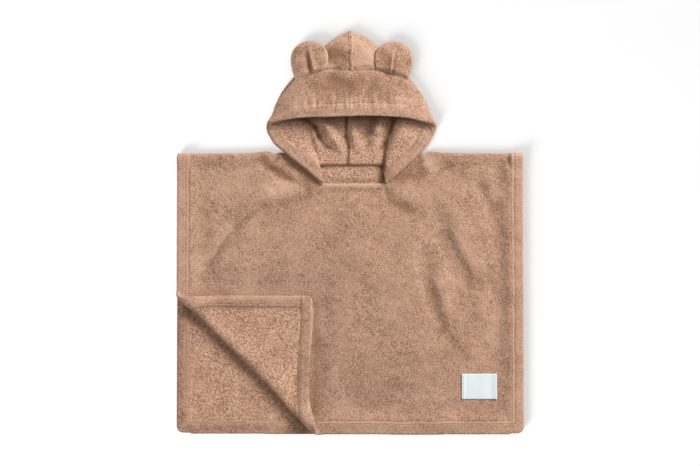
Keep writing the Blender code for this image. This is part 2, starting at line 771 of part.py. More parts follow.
def make_ear(name, base_x, base_y, lean, height, pleat):
    """A round padded ear with a pleat pressed in at its base, lying back on the crown."""
    turn = math.radians(lean)
    across = np.sin(np.linspace(-math.pi / 2.0, math.pi / 2.0, EAR_COLUMNS + 1))
    along = 1.0 - np.cos(np.linspace(0.0, math.pi / 2.0, EAR_ROWS + 1))
    mesh = cloth_grid([float(u) for u in across], [1.0 - float(v) for v in reversed(along)])
    close_wall(mesh)
    for vertex in mesh.verts:
        u, v, skin = vertex.co
        half = EAR_WIDTH / 2.0 * ear_half(v)
        x = half * u
        y = EAR_HEIGHT * v
        thick = EAR_PAD * math.sqrt(max(1.0 - u * u, 0.0)) * smooth(1.06, 0.72, v)
        thick = max(thick, EAR_EDGE)
        from_pleat = (x - pleat * EAR_WIDTH) / EAR_PLEAT_WIDTH
        groove = EAR_PLEAT_DEPTH * math.exp(-(from_pleat**2)) * (1.0 - smooth(0.35, 0.75, v))
        world_x = base_x + x * math.cos(turn) + y * math.sin(turn)
        world_y = base_y - x * math.sin(turn) + y * math.cos(turn)
        rest = height + EAR_PAD - EAR_FALL_OUT * (abs(world_x) - abs(base_x))
        rest -= EAR_FALL_BACK * (world_y - base_y)
        if skin > 0.5:
            z = rest + thick - groove * min(thick / EAR_PAD, 1.0)
        else:
            z = rest - thick
        vertex.co = (world_x, world_y, z)
    return finish(name, mesh, "plush")


def ear_half(v):
    """Half width of the ear at a share of its height, 1 at its widest."""
    if v < EAR_WIDEST:
        return EAR_FOOT + (1.0 - EAR_FOOT) * math.sin(math.pi / 2.0 * v / EAR_WIDEST)
    t = (v - EAR_WIDEST) / (1.0 - EAR_WIDEST)
    return max(math.sqrt(max(1.0 - t * t, 0.0)), EAR_TIP)


def make_label(body):
    """A woven label lying on the front's own skin, its two ends folded under."""
    width, height = LABEL_SIZE
    ends = [0.0, LABEL_TURN, LABEL_TURN + LABEL_FOLD]
    middle = np.linspace(ends[-1], width - ends[-1], LABEL_STEPS + 1)[1:-1]
    columns = [*ends, *middle, *(width - end for end in reversed(ends))]
    mesh = cloth_grid(columns, list(np.linspace(0.0, height, LABEL_STEPS + 1)))
    close_wall(mesh)
    skin_tree = BVHTree.FromPolygons(
        [vertex.co / MM for vertex in body.data.vertices],
        [polygon.vertices[:] for polygon in body.data.polygons],
    )
    start_x = LABEL_CENTRE[0] - width / 2.0
    start_y = LABEL_CENTRE[1] - height / 2.0
    for vertex in mesh.verts:
        x, y, skin = vertex.co
        place = (start_x + x, start_y + y)
        hit = skin_tree.ray_cast(Vector((*place, 100.0)), Vector((0.0, 0.0, -1.0)))
        z = hit[0].z + LABEL_REST
        if skin > 0.5:
            from_end = min(x, width - x)
            at_end = 1.0 - smooth(LABEL_TURN, LABEL_TURN + LABEL_FOLD, from_end)
            z += LABEL_THICK + LABEL_TURN_EXTRA * at_end
        vertex.co = (*place, z)
    return finish("label", mesh, "label")


def main():
    for old in list(bpy.data.objects):
        bpy.data.objects.remove(old)
    body = make_body()
    make_hood_side("hood_left", HOOD_LEFT)
    make_hood_side("hood_right", HOOD_RIGHT)
    make_band()
    for row in EARS:
        make_ear(*row)
    make_label(body)


main()
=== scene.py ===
"""Hooded bath poncho for a toddler, laid flat: its cloth, sewing, ears, label and stage.

Sizes in the tables are in millimetres, as the pieces are cut, and become metres when a
mesh is made. X runs across the shoulders, Y from the hem to the peak of the hood.
"""

import math

import bpy
import numpy as np
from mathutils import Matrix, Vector
from mathutils.bvhtree import BVHTree


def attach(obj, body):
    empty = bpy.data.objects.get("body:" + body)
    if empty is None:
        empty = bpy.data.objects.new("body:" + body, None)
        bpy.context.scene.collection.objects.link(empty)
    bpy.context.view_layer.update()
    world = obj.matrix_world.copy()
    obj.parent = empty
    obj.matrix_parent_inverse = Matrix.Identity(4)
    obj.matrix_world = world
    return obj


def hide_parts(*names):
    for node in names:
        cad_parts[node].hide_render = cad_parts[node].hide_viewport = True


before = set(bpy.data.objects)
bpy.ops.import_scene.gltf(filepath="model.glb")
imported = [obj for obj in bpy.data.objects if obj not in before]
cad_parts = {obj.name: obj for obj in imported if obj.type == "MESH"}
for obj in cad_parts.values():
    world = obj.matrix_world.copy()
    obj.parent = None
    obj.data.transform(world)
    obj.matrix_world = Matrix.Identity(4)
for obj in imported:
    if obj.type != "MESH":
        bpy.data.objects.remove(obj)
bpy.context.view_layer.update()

bl_info = {
    "name": "Hooded bath poncho",
    "version": (1, 0, 0),
    "blender": (4, 5, 0),
    "location": "View3D > Sidebar > Poncho",
    "description": "Builds a hooded plush bath poncho with bear ears, laid flat",
    "category": "Object",
}

MM = 0.001
BODY = "root"

# Cloth: its thickness with the pile, the gaps between layers and between pieces, and how far
# the band is tucked into its seam
CLOTH = 3.0
LAYER_GAP = 0.3
SEAM_GAP = 0.02
PEAK_GAP = 0.1
SEAM_TUCK = 1.0
SEAM_TUCK_DOWN = 0.4

# Body: one rectangle of cloth folded over the shoulders
BODY_WIDTH = 600.0
BODY_FLARE = 2.0
SHOULDER_Y = 140.0
HEM_Y = -349.5
CORNER_RADIUS = 12.0
FOLD_RADIUS = 3.6
NECK_FOLD_RADIUS = 2.2
FOLD_SETTLE = 26.0
SHOULDER_FADE = (8.0, 34.0)

# Its turned hem: how sharp its raw edge is, how far it lifts what lies on it, the distances
# of its two stitched lines to the edge, and how they wander and turn the corners
HEM_WIDTH = 22.0
HEM_STEP = 2.4
HEM_SOFT = 0.8
HEM_SOFT_REACH = 3.0
HEM_RISE = 26.0
STITCH_LINES = (15.8, 20.6)
STITCH_GROOVE = 0.75
STITCH_WIDTH = 1.1
STITCH_WANDER = 0.55
END_HEM_EXTRA = 2.2
CORNER_BLEND = 6.0

# Cut and folded edges: how far in they are rounded, and the share of cloth left at the rim
EDGE_ROUND = 3.2
EDGE_THIN = 0.12

# Air under the front: its height, and how far from the edges it and its folds are full
FRONT_LOFT = 2.8
LOFT_EDGE = 70.0
LOFT_TO_FOLD = 25.0
CREASE_EDGE = (10.0, 40.0)
LAID_EDGE = 4.0

# Soft unevenness of the laid front: length of its waves, share of the finer ones, and how
# softly the air under the front ends
RUMPLE_WAVE = 85.0
RUMPLE_FINE_WAVE = 34.0
RUMPLE_FINE_SHARE = 0.35
LOFT_SOFTENING = 0.5

# Puckers beside the stitched hem: their reach, and how far they move its skins and groove
PUCKER_REACH = 9.0
PUCKER_OUT = 0.3
PUCKER_IN = 0.25
PUCKER_GROOVE = 0.6

# Neck hole, in cloth lengths: down the front, down the back, and its corners
NECK_FRONT_DROP = 54.0
NECK_BACK_DROP = 25.0
NECK_BACK_CORNER = 12.0
NECK_AT_FOLD = (-100.0, 112.0)
NECK_AT_FRONT = (-44.0, 57.0)
NECK_AT_BACK = (-78.0, 88.0)
NECK_RELEASE = 150.0
NECK_FLAT = 60.0
NECK_EDGE_SIDES = 9.0
NECK_EDGE_ABOVE = 1.0
NECK_PRESSED = (30.0, 60.0)
NECK_ROLL = 1.6
NECK_ROLL_AT = 4.0

# Front corner turned back over the diagonal
TURN_START = (-301.0, -106.0)
TURN_END = (-56.0, -349.0)
TURN_RADIUS = 5.0
TURN_HEM_EXTRA = 0.8
TURN_EASE = 0.965
TURN_SETTLE = 24.0
FLAP_GAP = 0.6
FLAP_CORNER = (-58.0, -103.0)
FLAP_FLAT = 45.0
FLAP_DRAW = 13.0
FLAP_DRAW_START = (6.0, 70.0)
FLAP_DRAW_END = (70.0, 235.0)
FLAP_DRAW_WIDTH = 90.0

# Grid of the body: distances from a cut edge, then the step over plain cloth
EDGE_STEPS = (
    0.0, 0.3, 0.8, 1.6, 2.8, 4.5, 8.0, 12.0, 14.3, 15.1, 15.8, 16.5, 17.3, 18.2, 19.2,
    19.9, 20.6, 21.3, 22.2, 23.0, 23.8, 24.8, 27.0,
)
CLOTH_STEP = 4.0
BACK_STEP = 8.0
FOLD_STEP = 1.4
NECK_RIM_STEPS = (0.0, 0.4, 1.0, 2.0, 3.4, 5.5)

# Soft ridges (+) and troughs (-) of the front: ends, half width and height
CREASES = [
    # x0, y0, x1, y1, half width, height
    (223, 84, 256, 30, 15, -3.0),
    (256, 30, 266, -22, 15, -2.4),
    (242, 80, 270, 40, 13, 2.2),
    (160, 8, 190, -65, 15, -2.6),
    (190, -65, 216, -92, 13, -2.4),
    (170, 42, 226, -52, 16, 3.0),
    (129, -45, 144, -112, 14, -2.8),
    (144, -112, 170, -175, 15, -2.2),
    (152, -70, 176, -140, 17, 2.4),
    (237, -50, 253, -92, 12, -2.4),
    (-47, -205, -52, -290, 14, -2.2),
    (-205, 8, -264, -62, 17, -2.0),
    (-182, -8, -240, -78, 16, 1.6),
    (-77, 94, -72, 62, 9, -2.6),
    (68, 74, 99, 36, 14, -2.4),
    (-148, 128, -123, 101, 9, -2.6),
    (-123, 101, -96, 91, 8, -2.0),
    (-139, 139, -128, 118, 10, 4.0),
    (150, 108, 117, 99, 9, -2.4),
    (140, 137, 133, 120, 9, 3.6),
    (96, 98, 110, 86, 10, -2.6),
    (20, 60, 24, -60, 26, 1.2),
    (-150, 60, -190, -40, 24, 1.2),
]

# How much higher and deeper than in that table they lie
CREASE_SHARE = 1.25

# Smaller ones, pressed in where the cloth has been handled
FINE_CREASES = [
    # x0, y0, x1, y1, half width, height
    (-150, 132, -143, 114, 3.5, -1.8),
    (-143, 114, -104, 93, 4, -2.0),
    (-134, 122, -100, 104, 7, 1.3),
    (64, 79, 69, 57, 4, -1.2),
    (69, 57, 100, 40, 6, -0.9),
    (58, 80, 62, 58, 4, 0.8),
    (-74, 88, -70, 62, 4, -1.0),
    (121, 137, 124, 122, 3, -1.2),
    (128, 134, 132, 120, 4, 1.2),
    (206, -84, 216, -120, 7, -0.9),
    (246, -84, 248, -100, 6, -0.7),
    (232, -84, 236, -110, 7, 0.7),
    (-100, 122, -74, 99, 7, -1.8),
    (-108, 104, -86, 84, 7, 1.2),
    (60, 84, 64, 52, 6, -1.2),
    (-40, 70, -46, 30, 8, -0.7),
    (206, 100, 232, 62, 8, 0.9),
    (176, 4, 212, -66, 7, 1.9),
    (152, -6, 178, -62, 7, -1.6),
    (146, -82, 170, -158, 7, 1.8),
    (127, -74, 150, -152, 7, -1.6),
    (172, -168, 208, -208, 8, 1.2),
    (242, 66, 266, 8, 7, 1.2),
    (224, 78, 246, 36, 7, -1.2),
    (266, 10, 276, -120, 6, 1.0),
    (258, 0, 268, -100, 6, -1.0),
    (248, -66, 262, -112, 7, 1.0),
    (-58, -186, -54, -236, 7, -1.6),
    (-54, -236, -64, -304, 7, -1.8),
    (-40, -200, -36, -260, 10, 1.6),
    (74, 62, 102, 34, 7, -1.2),
    (-92, 54, -146, 42, 9, -1.2),
    (-90, 70, -140, 66, 12, 1.2),
    (-214, 60, -250, 0, 9, -0.6),
    (-218, 8, -252, -56, 8, 1.0),
    (-120, -10, -170, -70, 11, -0.6),
    (30, -120, 60, -200, 12, -0.5),
    (-20, -140, -30, -230, 12, 0.5),
    (210, -150, 240, -230, 10, -0.6),
    (0, -290, 60, -318, 8, -0.5),
    (110, -300, 170, -322, 8, 0.5),
]

# The same on the back panel, which lifts a little off the surface there
BACK_CREASES = [
    # x0, y0, x1, y1, half width, height
    (-180, 60, -120, -60, 15, 1.6),
    (110, 70, 170, -30, 14, 1.4),
    (-30, -60, 20, -190, 17, 1.8),
    (150, -130, 120, -260, 15, 1.5),
    (-230, -40, -250, -120, 13, 1.2),
    (-240, -200, -170, -290, 12, 1.0),
    (-190, -250, -140, -318, 10, 0.8),
]

# Hood: the fold at its outline, and the hem that frames the face
HOOD_FOLD_RADIUS = 4.5
HOOD_HEM_WIDTH = 22.0
HOOD_STITCH_LINE = 21.7
HOOD_HEM_STEP = 3.0
HOOD_HEM_PUFF = 1.2
HEM_PUFF_POWER = 0.7
PRESSED_HEM = 0.75
CROWN_DOME = 3.0
DOME_REACH = 40.0
BAND_DOME = 2.5

# Folds laid into the hood: how far from a seam or a hem they reach their full height, how
# deep those inside may sink, in thicknesses, and how far the neck seam lies lower
SIDE_FOLD_EDGE = (2.0, 14.0)
INSIDE_FOLD_EDGE = 10.0
INSIDE_SINK = 0.2
NECK_SEAM_DROP = 1.5
BAND_SEAM_FOLD_EDGE = (2.0, 12.0)
BAND_HEM_FOLD_EDGE = (2.0, 10.0)

# Small unevenness of the crown, the brow and the brim
CROWN_UNEVEN = 0.5
BROW_UNEVEN = 0.6
BRIM_UNEVEN = 0.4
BRIM_UNEVEN_REACH = 30.0

# Rows of the hood's tables: where its sides leave the surface, how far round the fold they
# have come, and where the upper layer, the brow and the straight peak start
FOLD_PLACE = 6.0
FOLD_BLEND = 1.5
TURN_PLACES = (6.0, 7.0, 8.0, 9.0)
TURN_SHARES = (0.5, 0.8, 0.9, 1.0)
BAND_DOME_ROWS = (7.0, 9.5)
UPPER_ROWS = (6.0, 7.0)
UPPER_HEIGHTS = (5.0, 9.0)
BROW_ROWS = (7.5, 9.5)
PEAK_BLEND = 1.5

# The hood's seams, which the stitching draws in between two soft ridges
SEAM_EDGE = 0.2
SEAM_REACH = 6.4
SEAM_RIDGE = 1.3
SEAM_RIDGE_AT = 3.0
SEAM_SUNK = 1.0
SEAM_SUNK_REACH = 1.4
SEAM_RUCK = 0.7
# Painted light and shade of the puckers beside the centre seam, and how far it reaches
SEAM_LIGHT_AND_SHADE = 1.5
SEAM_NAP_REACH = 4.5

# Puckers of the hood: along the seams of its sides, and along the band's stitched line
SIDE_PUCKERS = 0.18
SIDE_PUCKERS_AT = 6.0
SIDE_PUCKERS_REACH = 5.0
BAND_PUCKERS = 0.6
BAND_RUCK = 1.1
BAND_RUCK_REACH = 10.0
BAND_GROOVE_PUCKERS = 0.4

# Grid of the hood: its steps count rows, its distances start at a seam or a hem
HOOD_STEP = 0.1
HOOD_COLUMNS = 84
FLOOR_POINTS = 8
ARC_POINTS = 24
ARC_WEIGHT = 4.0
ARC_PULL = (7.0, 20.0)
TOP_POINTS = 16
ROW_LENGTH = 14.0
CROWN_ROWS = (0.44, 0.38, 0.32, 0.27, 0.22, 0.18, 0.14, 0.11, 0.08, 0.05, 0.025, 0.0)
CROWN_ROW_WIDTH = 22.0
PEAK_ROWS = 0.5
COLUMNS_TO_ENDS = 0.06
BAND_STEP = 0.055
BAND_BETWEEN = 12
BAND_SEAM_SHARE = 0.4
BAND_HEM_SHARE = 0.62
BAND_FROM_SEAM = (0.0, 0.5, 1.2, 2.2, 3.6, 5.5, 8.0, 11.0)
BAND_FROM_HEM = (
    0.0, 0.4, 1.0, 1.9, 3.0, 5.0, 8.0, 11.5, 15.0, 17.5, 19.5, 20.8, 21.7, 22.6, 23.8, 25.5,
)

# Centre seam, shared by both sides, from the back of the neck up to the peak
CENTRE_SEAM = [
    # x, y
    (-5, 117),
    (-4, 130),
    (-3, 147),
    (-4, 173),
    (-6, 206),
    (-5, 240),
    (-4, 257),
    (-3, 269),
    (-3, 281),
    (-2, 293),
    (-1, 305),
    (-1, 317),
    (0, 328),
    (0, 340),
]

# Hood, from the neck up and over to the middle of the forehead: the seam between side and
# band, the band's hem, the fold at the outline, and the row where the band turns over
HOOD_LEFT = [
    # seam x, y, z, hem x, y, z, fold x, y
    (-52, 118, 6.2, -47, 85, 9.4, -82, 118),
    (-56, 131, 4.0, -74, 108, 11.0, -100, 131),
    (-62, 146, 1.5, -104, 132, 13.0, -120, 146),
    (-70, 172, 1.5, -130, 153, 8.5, -130, 172),
    (-82, 198, 1.5, -140, 168, 2.6, -134, 198),
    (-108, 217, 1.8, -144, 176, 3.6, -131, 217),
    (-126.5, 224, 6.0, -140.5, 185, 9.0, -128, 224),
    (-122, 233, 10.4, -136, 190, 12.5, -126, 230),
    (-111, 248, 11.6, -120, 194, 17.5, -117, 247),
    (-93, 267, 12.4, -96, 198, 23.0, -99, 269),
    (-67, 276, 14.5, -66, 200, 26.0, -76, 291),
    (-38, 283, 17.0, -38, 200, 28.0, -50, 319),
    (-15, 281, 18.5, -16, 201, 29.0, -22, 342),
    (2, 281, 18.5, 2, 201, 29.0, 0, 351),
]
HOOD_RIGHT = [
    # seam x, y, z, hem x, y, z, fold x, y
    (57, 118, 6.2, 63, 85, 9.4, 90, 118),
    (59, 131, 4.0, 85, 103, 11.0, 108, 131),
    (63, 146, 1.5, 110, 126, 13.0, 124, 146),
    (71, 170, 1.5, 134, 151, 8.5, 134, 170),
    (84, 199, 1.5, 144, 168, 2.6, 138, 199),
    (110, 219, 1.8, 148, 176, 3.6, 134, 219),
    (128.5, 227, 6.0, 147.5, 183, 9.5, 130, 227),
    (123, 238, 10.4, 142, 188, 13.5, 127, 235),
    (112, 251, 11.6, 125, 193, 19.0, 118, 250),
    (96, 268, 12.4, 98, 199, 23.0, 101, 269),
    (70, 277, 14.5, 70, 201, 26.0, 79, 293),
    (42, 282, 17.0, 42, 202, 28.0, 53, 321),
    (17, 281, 18.5, 18, 202, 29.0, 23, 342.5),
    (2, 281, 18.5, 2, 201, 29.0, 0, 351),
]

# Folds of the hood's upper layer, outwards (+) or inwards (-)
CROWN_CREASES = [
    # x0, y0, x1, y1, half width, height
    (-34, 262, -8, 253, 12, -3.2),
    (-20, 268, -60, 246, 14, -1.4),
    (-70, 252, -40, 246, 12, -1.4),
    (34, 270, 26, 226, 7, -1.6),
    (50, 272, 40, 226, 8, 1.8),
    (66, 270, 58, 226, 6, -1.8),
    (82, 254, 96, 246, 9, -1.4),
    (-24, 240, -20, 226, 5, -1.2),
    (-34, 240, -32, 226, 5, 1.0),
    (12, 240, 10, 204, 5, -1.0),
    (10, 262, 6, 226, 8, 0.9),
    (-80, 262, -66, 226, 10, 0.8),
    (86, 258, 112, 226, 11, -1.0),
    (-38, 303, -14, 305, 10, -4.2),
    (-39, 285, -20, 293, 4, 2.6),
    (-20, 293, -7, 288, 4, 2.2),
    (8, 288, 28, 291, 4, 1.8),
    (28, 291, 42, 284, 4, 1.8),
    (20, 322, 38, 300, 10, 1.8),
    (-24, 320, -36, 306, 10, -1.6),
    (44, 312, 42, 290, 6, -2.2),
]

# Folds of the hood's lower layer, seen inside the opening, up (+) or down (-)
INSIDE_CREASES = [
    # x0, y0, x1, y1, half width, height
    (-86, 197, -68, 172, 6, 2.6),
    (-68, 172, -58, 148, 6, 2.0),
    (-64, 186, -55, 168, 3.5, -2.4),
    (-55, 168, -40, 150, 3.5, -2.0),
    (-40, 150, -20, 140, 3, -1.0),
    (-48, 202, -38, 181, 9, 6.0),
    (-38, 181, -24, 158, 9, 5.4),
    (-24, 158, -12, 142, 8, 2.6),
    (9, 200, 5, 170, 7, 3.8),
    (5, 170, 12, 150, 7, 3.2),
    (56, 200, 48, 177, 9, 6.0),
    (48, 177, 40, 160, 9, 5.0),
    (40, 160, 44, 136, 8, 2.4),
]

# How far the hood's lower layer bulges over its seam with the band, left and right
BAND_BULGE = {-1.0: 3.5, 1.0: 8.5}
BAND_BULGE_REACH = 7.0
BAND_BULGE_ROWS = (0.0, 0.8, 3.8, 5.6)
BAND_BULGE_EASE = 0.25

# The thick lip where the band's hem turns over at the corners: more cloth left and right,
# over so many rows and so far from the hem
LIP = {-1.0: 5.0, 1.0: 3.6}
LIP_ROWS = 1.6
LIP_REACH = 12.0

# How light the painted highlight on the brim's rounded, fluffed up edge is, how far it reaches
# and how much it varies
BRIM_HIGHLIGHT = 1.1
BRIM_NAP_REACH = 2.8
BRIM_NAP_PUCKERS = 0.8

# Shoulder line: soft bumps (+) and notches (-) along the fold
SHOULDER_BUMPS = [
    # x, half width, height
    (-147, 13, 2.2),
    (-131, 5, -3.0),
    (143, 14, 2.0),
    (131, 5, -2.6),
    (-260, 70, -2.2),
    (250, 70, -1.6),
]

# Where the front is made lighter (+) or darker (-): nap stroked in patches, painted shade in
# its creases, painted shadow beside the hood's hem and the flap, painted highlights on rims
FRONT_NAP_AND_SHADE = [
    # x0, y0, x1, y1, half width, amount
    (-150, 132, -143, 114, 3, -0.9),
    (-143, 114, -104, 93, 3.5, -0.9),
    (-104, 93, -76, 85, 4, -0.5),
    (64, 79, 69, 57, 3.5, -0.6),
    (69, 57, 100, 40, 5, -0.5),
    (58, 84, 62, 58, 3, 0.4),
    (-74, 88, -70, 62, 3, -0.5),
    (121, 137, 124, 122, 2.5, -0.6),
    (128, 137, 132, 120, 3, 0.5),
    (206, -84, 216, -120, 6, -0.35),
    (246, -84, 248, -100, 5, -0.3),
    (-58, -124, -62, -314, 5, -0.45),
    (-123, 135, -128, 125, 2.5, -0.9),
    (-149, 131, -146, 118, 3, -0.7),
    (-114, 134, -58, 90, 5, -0.8),
    (-44, 83, 57, 83, 3.5, 0.85),
    (-284, -123, -72, -333, 9, 0.8),
    (-38, 75, 50, 75, 3.5, -0.3),
    (162, -1, 205, -73, 9, -0.3),
    (136, -80, 162, -164, 9, -0.5),
    (162, -164, 200, -214, 10, -0.3),
    (192, -8, 222, -52, 9, 0.35),
    (156, -86, 174, -131, 9, 0.3),
    (231, 83, 253, 44, 8, -0.35),
    (253, 44, 271, -8, 8, -0.35),
    (244, 70, 262, 31, 7, 0.3),
    (272, -20, 278, -268, 7, -0.25),
    (240, -60, 257, -112, 8, -0.25),
    (-150, 126, -108, 103, 9, -0.5),
    (-108, 132, -64, 92, 10, -0.4),
    (-75, 80, -73, 66, 7, -0.4),
    (-85, 58, -145, 48, 12, -0.35),
    (-140, 78, -112, 76, 17, 0.35),
    (86, 96, 124, 106, 11, -0.5),
    (72, 70, 94, 46, 9, -0.4),
    (94, 46, 122, 38, 9, -0.3),
    (96, 70, 130, 64, 12, 0.35),
    (141, 126, 148, 122, 9, 0.4),
    (-270, 119, -199, 119, 9, -0.3),
    (166, 119, 218, 119, 8, -0.3),
    (266, 122, 267, 96, 8, -0.35),
    (-52, -190, -46, -236, 11, -0.4),
    (-46, -236, -57, -307, 11, -0.4),
    (-28, -235, -32, -262, 9, 0.25),
    (30, -250, 95, -262, 45, -0.25),
    (10, 40, 20, -120, 60, -0.12),
    (-225, 5, -257, -60, 9, 0.2),
    (-142, 50, -194, 14, 4, -0.35),
    (-194, 14, -222, -22, 4, -0.35),
    (-222, -22, -250, -66, 4, -0.3),
    (-205, 15, -240, -40, 5, 0.2),
    (-245, 95, -190, 75, 26, 0.2),
    (132, 120, 141, 108, 3, 0.4),
    (141, 108, 159, 114, 4, 0.3),
    (118, 122, 128, 104, 5, -0.45),
    (128, 102, 150, 100, 6, -0.25),
    (-212, -14, -240, -60, 9, -0.2),
]

# Lighter along the side hems and in small patches at random, and a painted highlight on the
# ridge between the hem's two stitched lines
HEM_NAP = 0.3
HEM_NAP_EDGE = 4.0
STITCH_HIGHLIGHT = 0.7
STITCH_NAP_REACH = 1.5
PATCHY_NAP = 0.1

# Stroked nap and painted shade and highlights on the hood's upper layer, by its folds and seams
HOOD_NAP_AND_SHADE = [
    # x0, y0, x1, y1, half width, amount
    (-46, 318, -14, 339, 5, 0.5),
    (-30, 301, -13, 298, 5, -0.5),
    (-38, 300, -12, 296, 10, -0.65),
    (-36, 287, -20, 292, 3, 1.1),
    (-20, 292, -11, 288, 3, 0.9),
    (-10, 337, 12, 337, 6, 0.4),
    (-32, 314, -16, 298, 13, -1.1),
    (0, 283, 1, 328, 1.6, -0.3),
    (-5, 285, -4, 326, 2, 0.3),
    (12, 326, 34, 296, 14, 0.7),
    (10, 300, 20, 290, 8, 0.3),
    (30, 290, 38, 280, 9, -0.25),
    (-26, 267, -6, 254, 12, -0.6),
    (-66, 256, 0, 246, 15, -0.6),
    (10, 262, 60, 246, 15, -0.5),
    (50, 266, 54, 238, 9, -0.3),
    (-104, 214, -60, 232, 9, 0.3),
    (86, 256, 100, 244, 12, -0.4),
    (20, 258, 30, 236, 12, -0.2),
    (-118, 228, -100, 250, 9, 0.35),
    (-97, 268, -120, 241, 3.5, -0.7),
    (-94, 270, -108, 256, 2, -0.9),
    (-108, 256, -119, 236, 2, -0.9),
    (-119, 236, -124, 224, 1.8, -0.6),
    (72, 233, 112, 230, 2.5, 0.5),
    (-100, 220, 110, 222, 6, 0.25),
]

# Painted shade on the curly inside: painted shadow under the brim, in its folds and seams and
# below the turned corner's roll, and painted highlights on rolled hems and folds
INSIDE_LIGHT_AND_SHADE = [
    # x0, y0, x1, y1, half width, amount
    (-122, 201, 136, 202, 8, -1.0),
    (-80, 199, -60, 184, 3.5, -1.0),
    (-60, 184, -54, 168, 4, -1.1),
    (-54, 168, -40, 150, 3.5, -0.9),
    (-40, 150, -18, 139, 2.5, -0.6),
    (-70, 194, -52, 172, 8, -0.3),
    (-6, 200, -7, 168, 3, -1.3),
    (-7, 168, -2, 150, 3, -1.3),
    (-2, 150, -4, 120, 2.5, -1.0),
    (42, 197, 34, 177, 8, -0.6),
    (34, 177, 26, 165, 7, -0.4),
    (77, 199, 70, 177, 3.5, -1.6),
    (70, 177, 62, 155, 3.5, -1.5),
    (62, 155, 57, 92, 3.5, -1.3),
    (71, 199, 55, 150, 6, -0.5),
    (-50, 118, 56, 118, 2.5, -1.3),
    (-44, 89, 56, 89, 2.5, -1.1),
    (-85, -108, -85, -131, 1.6, -1.0),
    (-297, -150, -297, -330, 7, -0.35),
    (-280, -341, -80, -341, 7, -0.3),
    (-257, -128, -173, -128, 6, -0.3),
    (-90, -249, -90, -320, 6, -0.25),
    (-292, -140, -84, -348, 6, -0.2),
    (-288, -130, -80, -335, 4, -0.7),
    (-262, -113, -78, -111, 2.5, 0.5),
    (-67, -116, -67, -200, 2.5, 0.5),
    (-67, -200, -71, -310, 2.5, 0.5),
    (-20, 170, -28, 182, 8, 0.3),
    (52, 175, 48, 155, 8, 0.3),
    (-30, 172, -20, 135, 9, 0.45),
    (25, 160, 35, 135, 10, 0.35),
]

# Ears: their size and padding, how they fall away outwards and backwards, how they are sewn
# into the seam and thin out, how light their patches are, and painted highlights on foot and rim
EAR_WIDTH = 65.0
EAR_HEIGHT = 56.0
EAR_PAD = 4.2
EAR_FALL_OUT = 0.12
EAR_FALL_BACK = 0.08
EAR_SEWN = 0.13
EAR_BEHIND_SEAM = 0.6
EAR_UNDER_SEAM = 0.2
EAR_THIN_TIP = (1.06, 0.72)
EAR_THIN_FOOT = 0.25
EAR_DIMPLES = 0.35
EAR_WIDEST = 0.46
EAR_FOOT = 0.80
EAR_TIP = 0.02
EAR_FOOT_HIGHLIGHT = 0.8
EAR_FOOT_REACH = 8.0
EAR_RIM = 0.84
EAR_RIM_HIGHLIGHT = 0.6
EAR_EDGE = 0.3
EAR_PATCHY_NAP = 0.25
EAR_PLAIN_NAP = -0.12
EAR_COLUMNS = 64
EAR_ROWS = 48

# Pleats of the ears: how much wider on one side and narrower on the other, where they fade,
# and the soft roll beside them
PLEAT_WIDER = 1.9
PLEAT_NARROWER = 0.6
PLEAT_FADE = (0.32, 0.88)
PLEAT_ROLL = 1.95
PLEAT_ROLL_AT = 2.6
PLEAT_ROLL_WIDTH = 1.8

# The two ears, as they are sewn in
EARS = [
    # name, base x, base y, lean in degrees, height of its underside,
    # pleat's place across at the base, its slant, half width and depth
    ("ear_left", -68.0, 277.0, -5.0, 13.5, 0.02, -0.10, 3.2, 5.2),
    ("ear_right", 73.0, 276.0, 7.0, 13.5, -0.03, 0.03, 3.2, -4.0),
]

# Painted highlights and shade along the pleats: distance from the pleat, reach, amount
EAR_PLEAT_LIGHT_AND_SHADE = {
    "ear_left": [(-0.6, 2.2, -1.3), (-6.0, 4.0, -0.25)],
    "ear_right": [(-0.8, 1.6, 1.3), (4.0, 3.2, -0.9), (0.0, 40.0, -0.4)],
}

# Thread: how finely it follows a line, where its first stitch starts and how long each is, as
# shares of their pitch, its radius, and a stitch's rings: share along it and fullness
THREAD_STEP = 1.5
THREAD_START = 0.3
THREAD_SHARE = 0.66
THREAD_RADIUS = 0.42
THREAD_RINGS = ((0.0, 0.3), (0.2, 1.0), (0.8, 1.0), (1.0, 0.3))

# The lowest that a stitch or a fibre may reach
LOOSE_LOW = 0.1

# Loose fibres: how steep the pile must stand and how high, their scatter, splay, half width
# and length as a share of the pile, how light they are, and how many a piece has
FIBRE_STEEP = 0.8
FIBRE_LOW = 0.4
FIBRE_SCATTER = 0.3
FIBRE_SPLAY = 0.5
FIBRE_WIDTH = 0.07
FIBRE_LENGTHS = (0.9, 1.8)
FIBRE_NAP = 0.4
FIBRES = {
    "body": 12000,
    "hood_left": 3500,
    "hood_right": 3500,
    "hood_band": 5000,
    "ear_left": 2200,
    "ear_right": 2200,
}

# Label: its size and place, its folded ends, the stitches across them, and a soft roll near
# its right end
LABEL_SIZE = (61.0, 44.0)
LABEL_CENTRE = (224.6, -266.5)
LABEL_THICK = 0.8
LABEL_TURN = 5.0
LABEL_FOLD = 1.0
LABEL_TURN_EXTRA = 0.6
LABEL_REST = 0.4
LABEL_STEP = 1.4
LABEL_END_STEP = 0.8
LABEL_SINK = 0.1
LABEL_SEWN = 2.6
LABEL_STITCHED = 0.35
LABEL_STITCHED_REACH = 0.7
LABEL_ROLL = 0.9
LABEL_ROLL_AT = 4.0
LABEL_ROLL_REACH = 5.0

# The size each piece was cut to, in metres, and the flat area of the ones that aren't square
CUTS = {
    # width, length, area
    "body": (0.640, 1.020, None),
    "hood_left": (0.150, 0.260, 0.0300),
    "hood_right": (0.150, 0.260, 0.0300),
    "hood_band": (0.105, 0.640, 0.0460),
    "label": (0.073, 0.044, None),
}

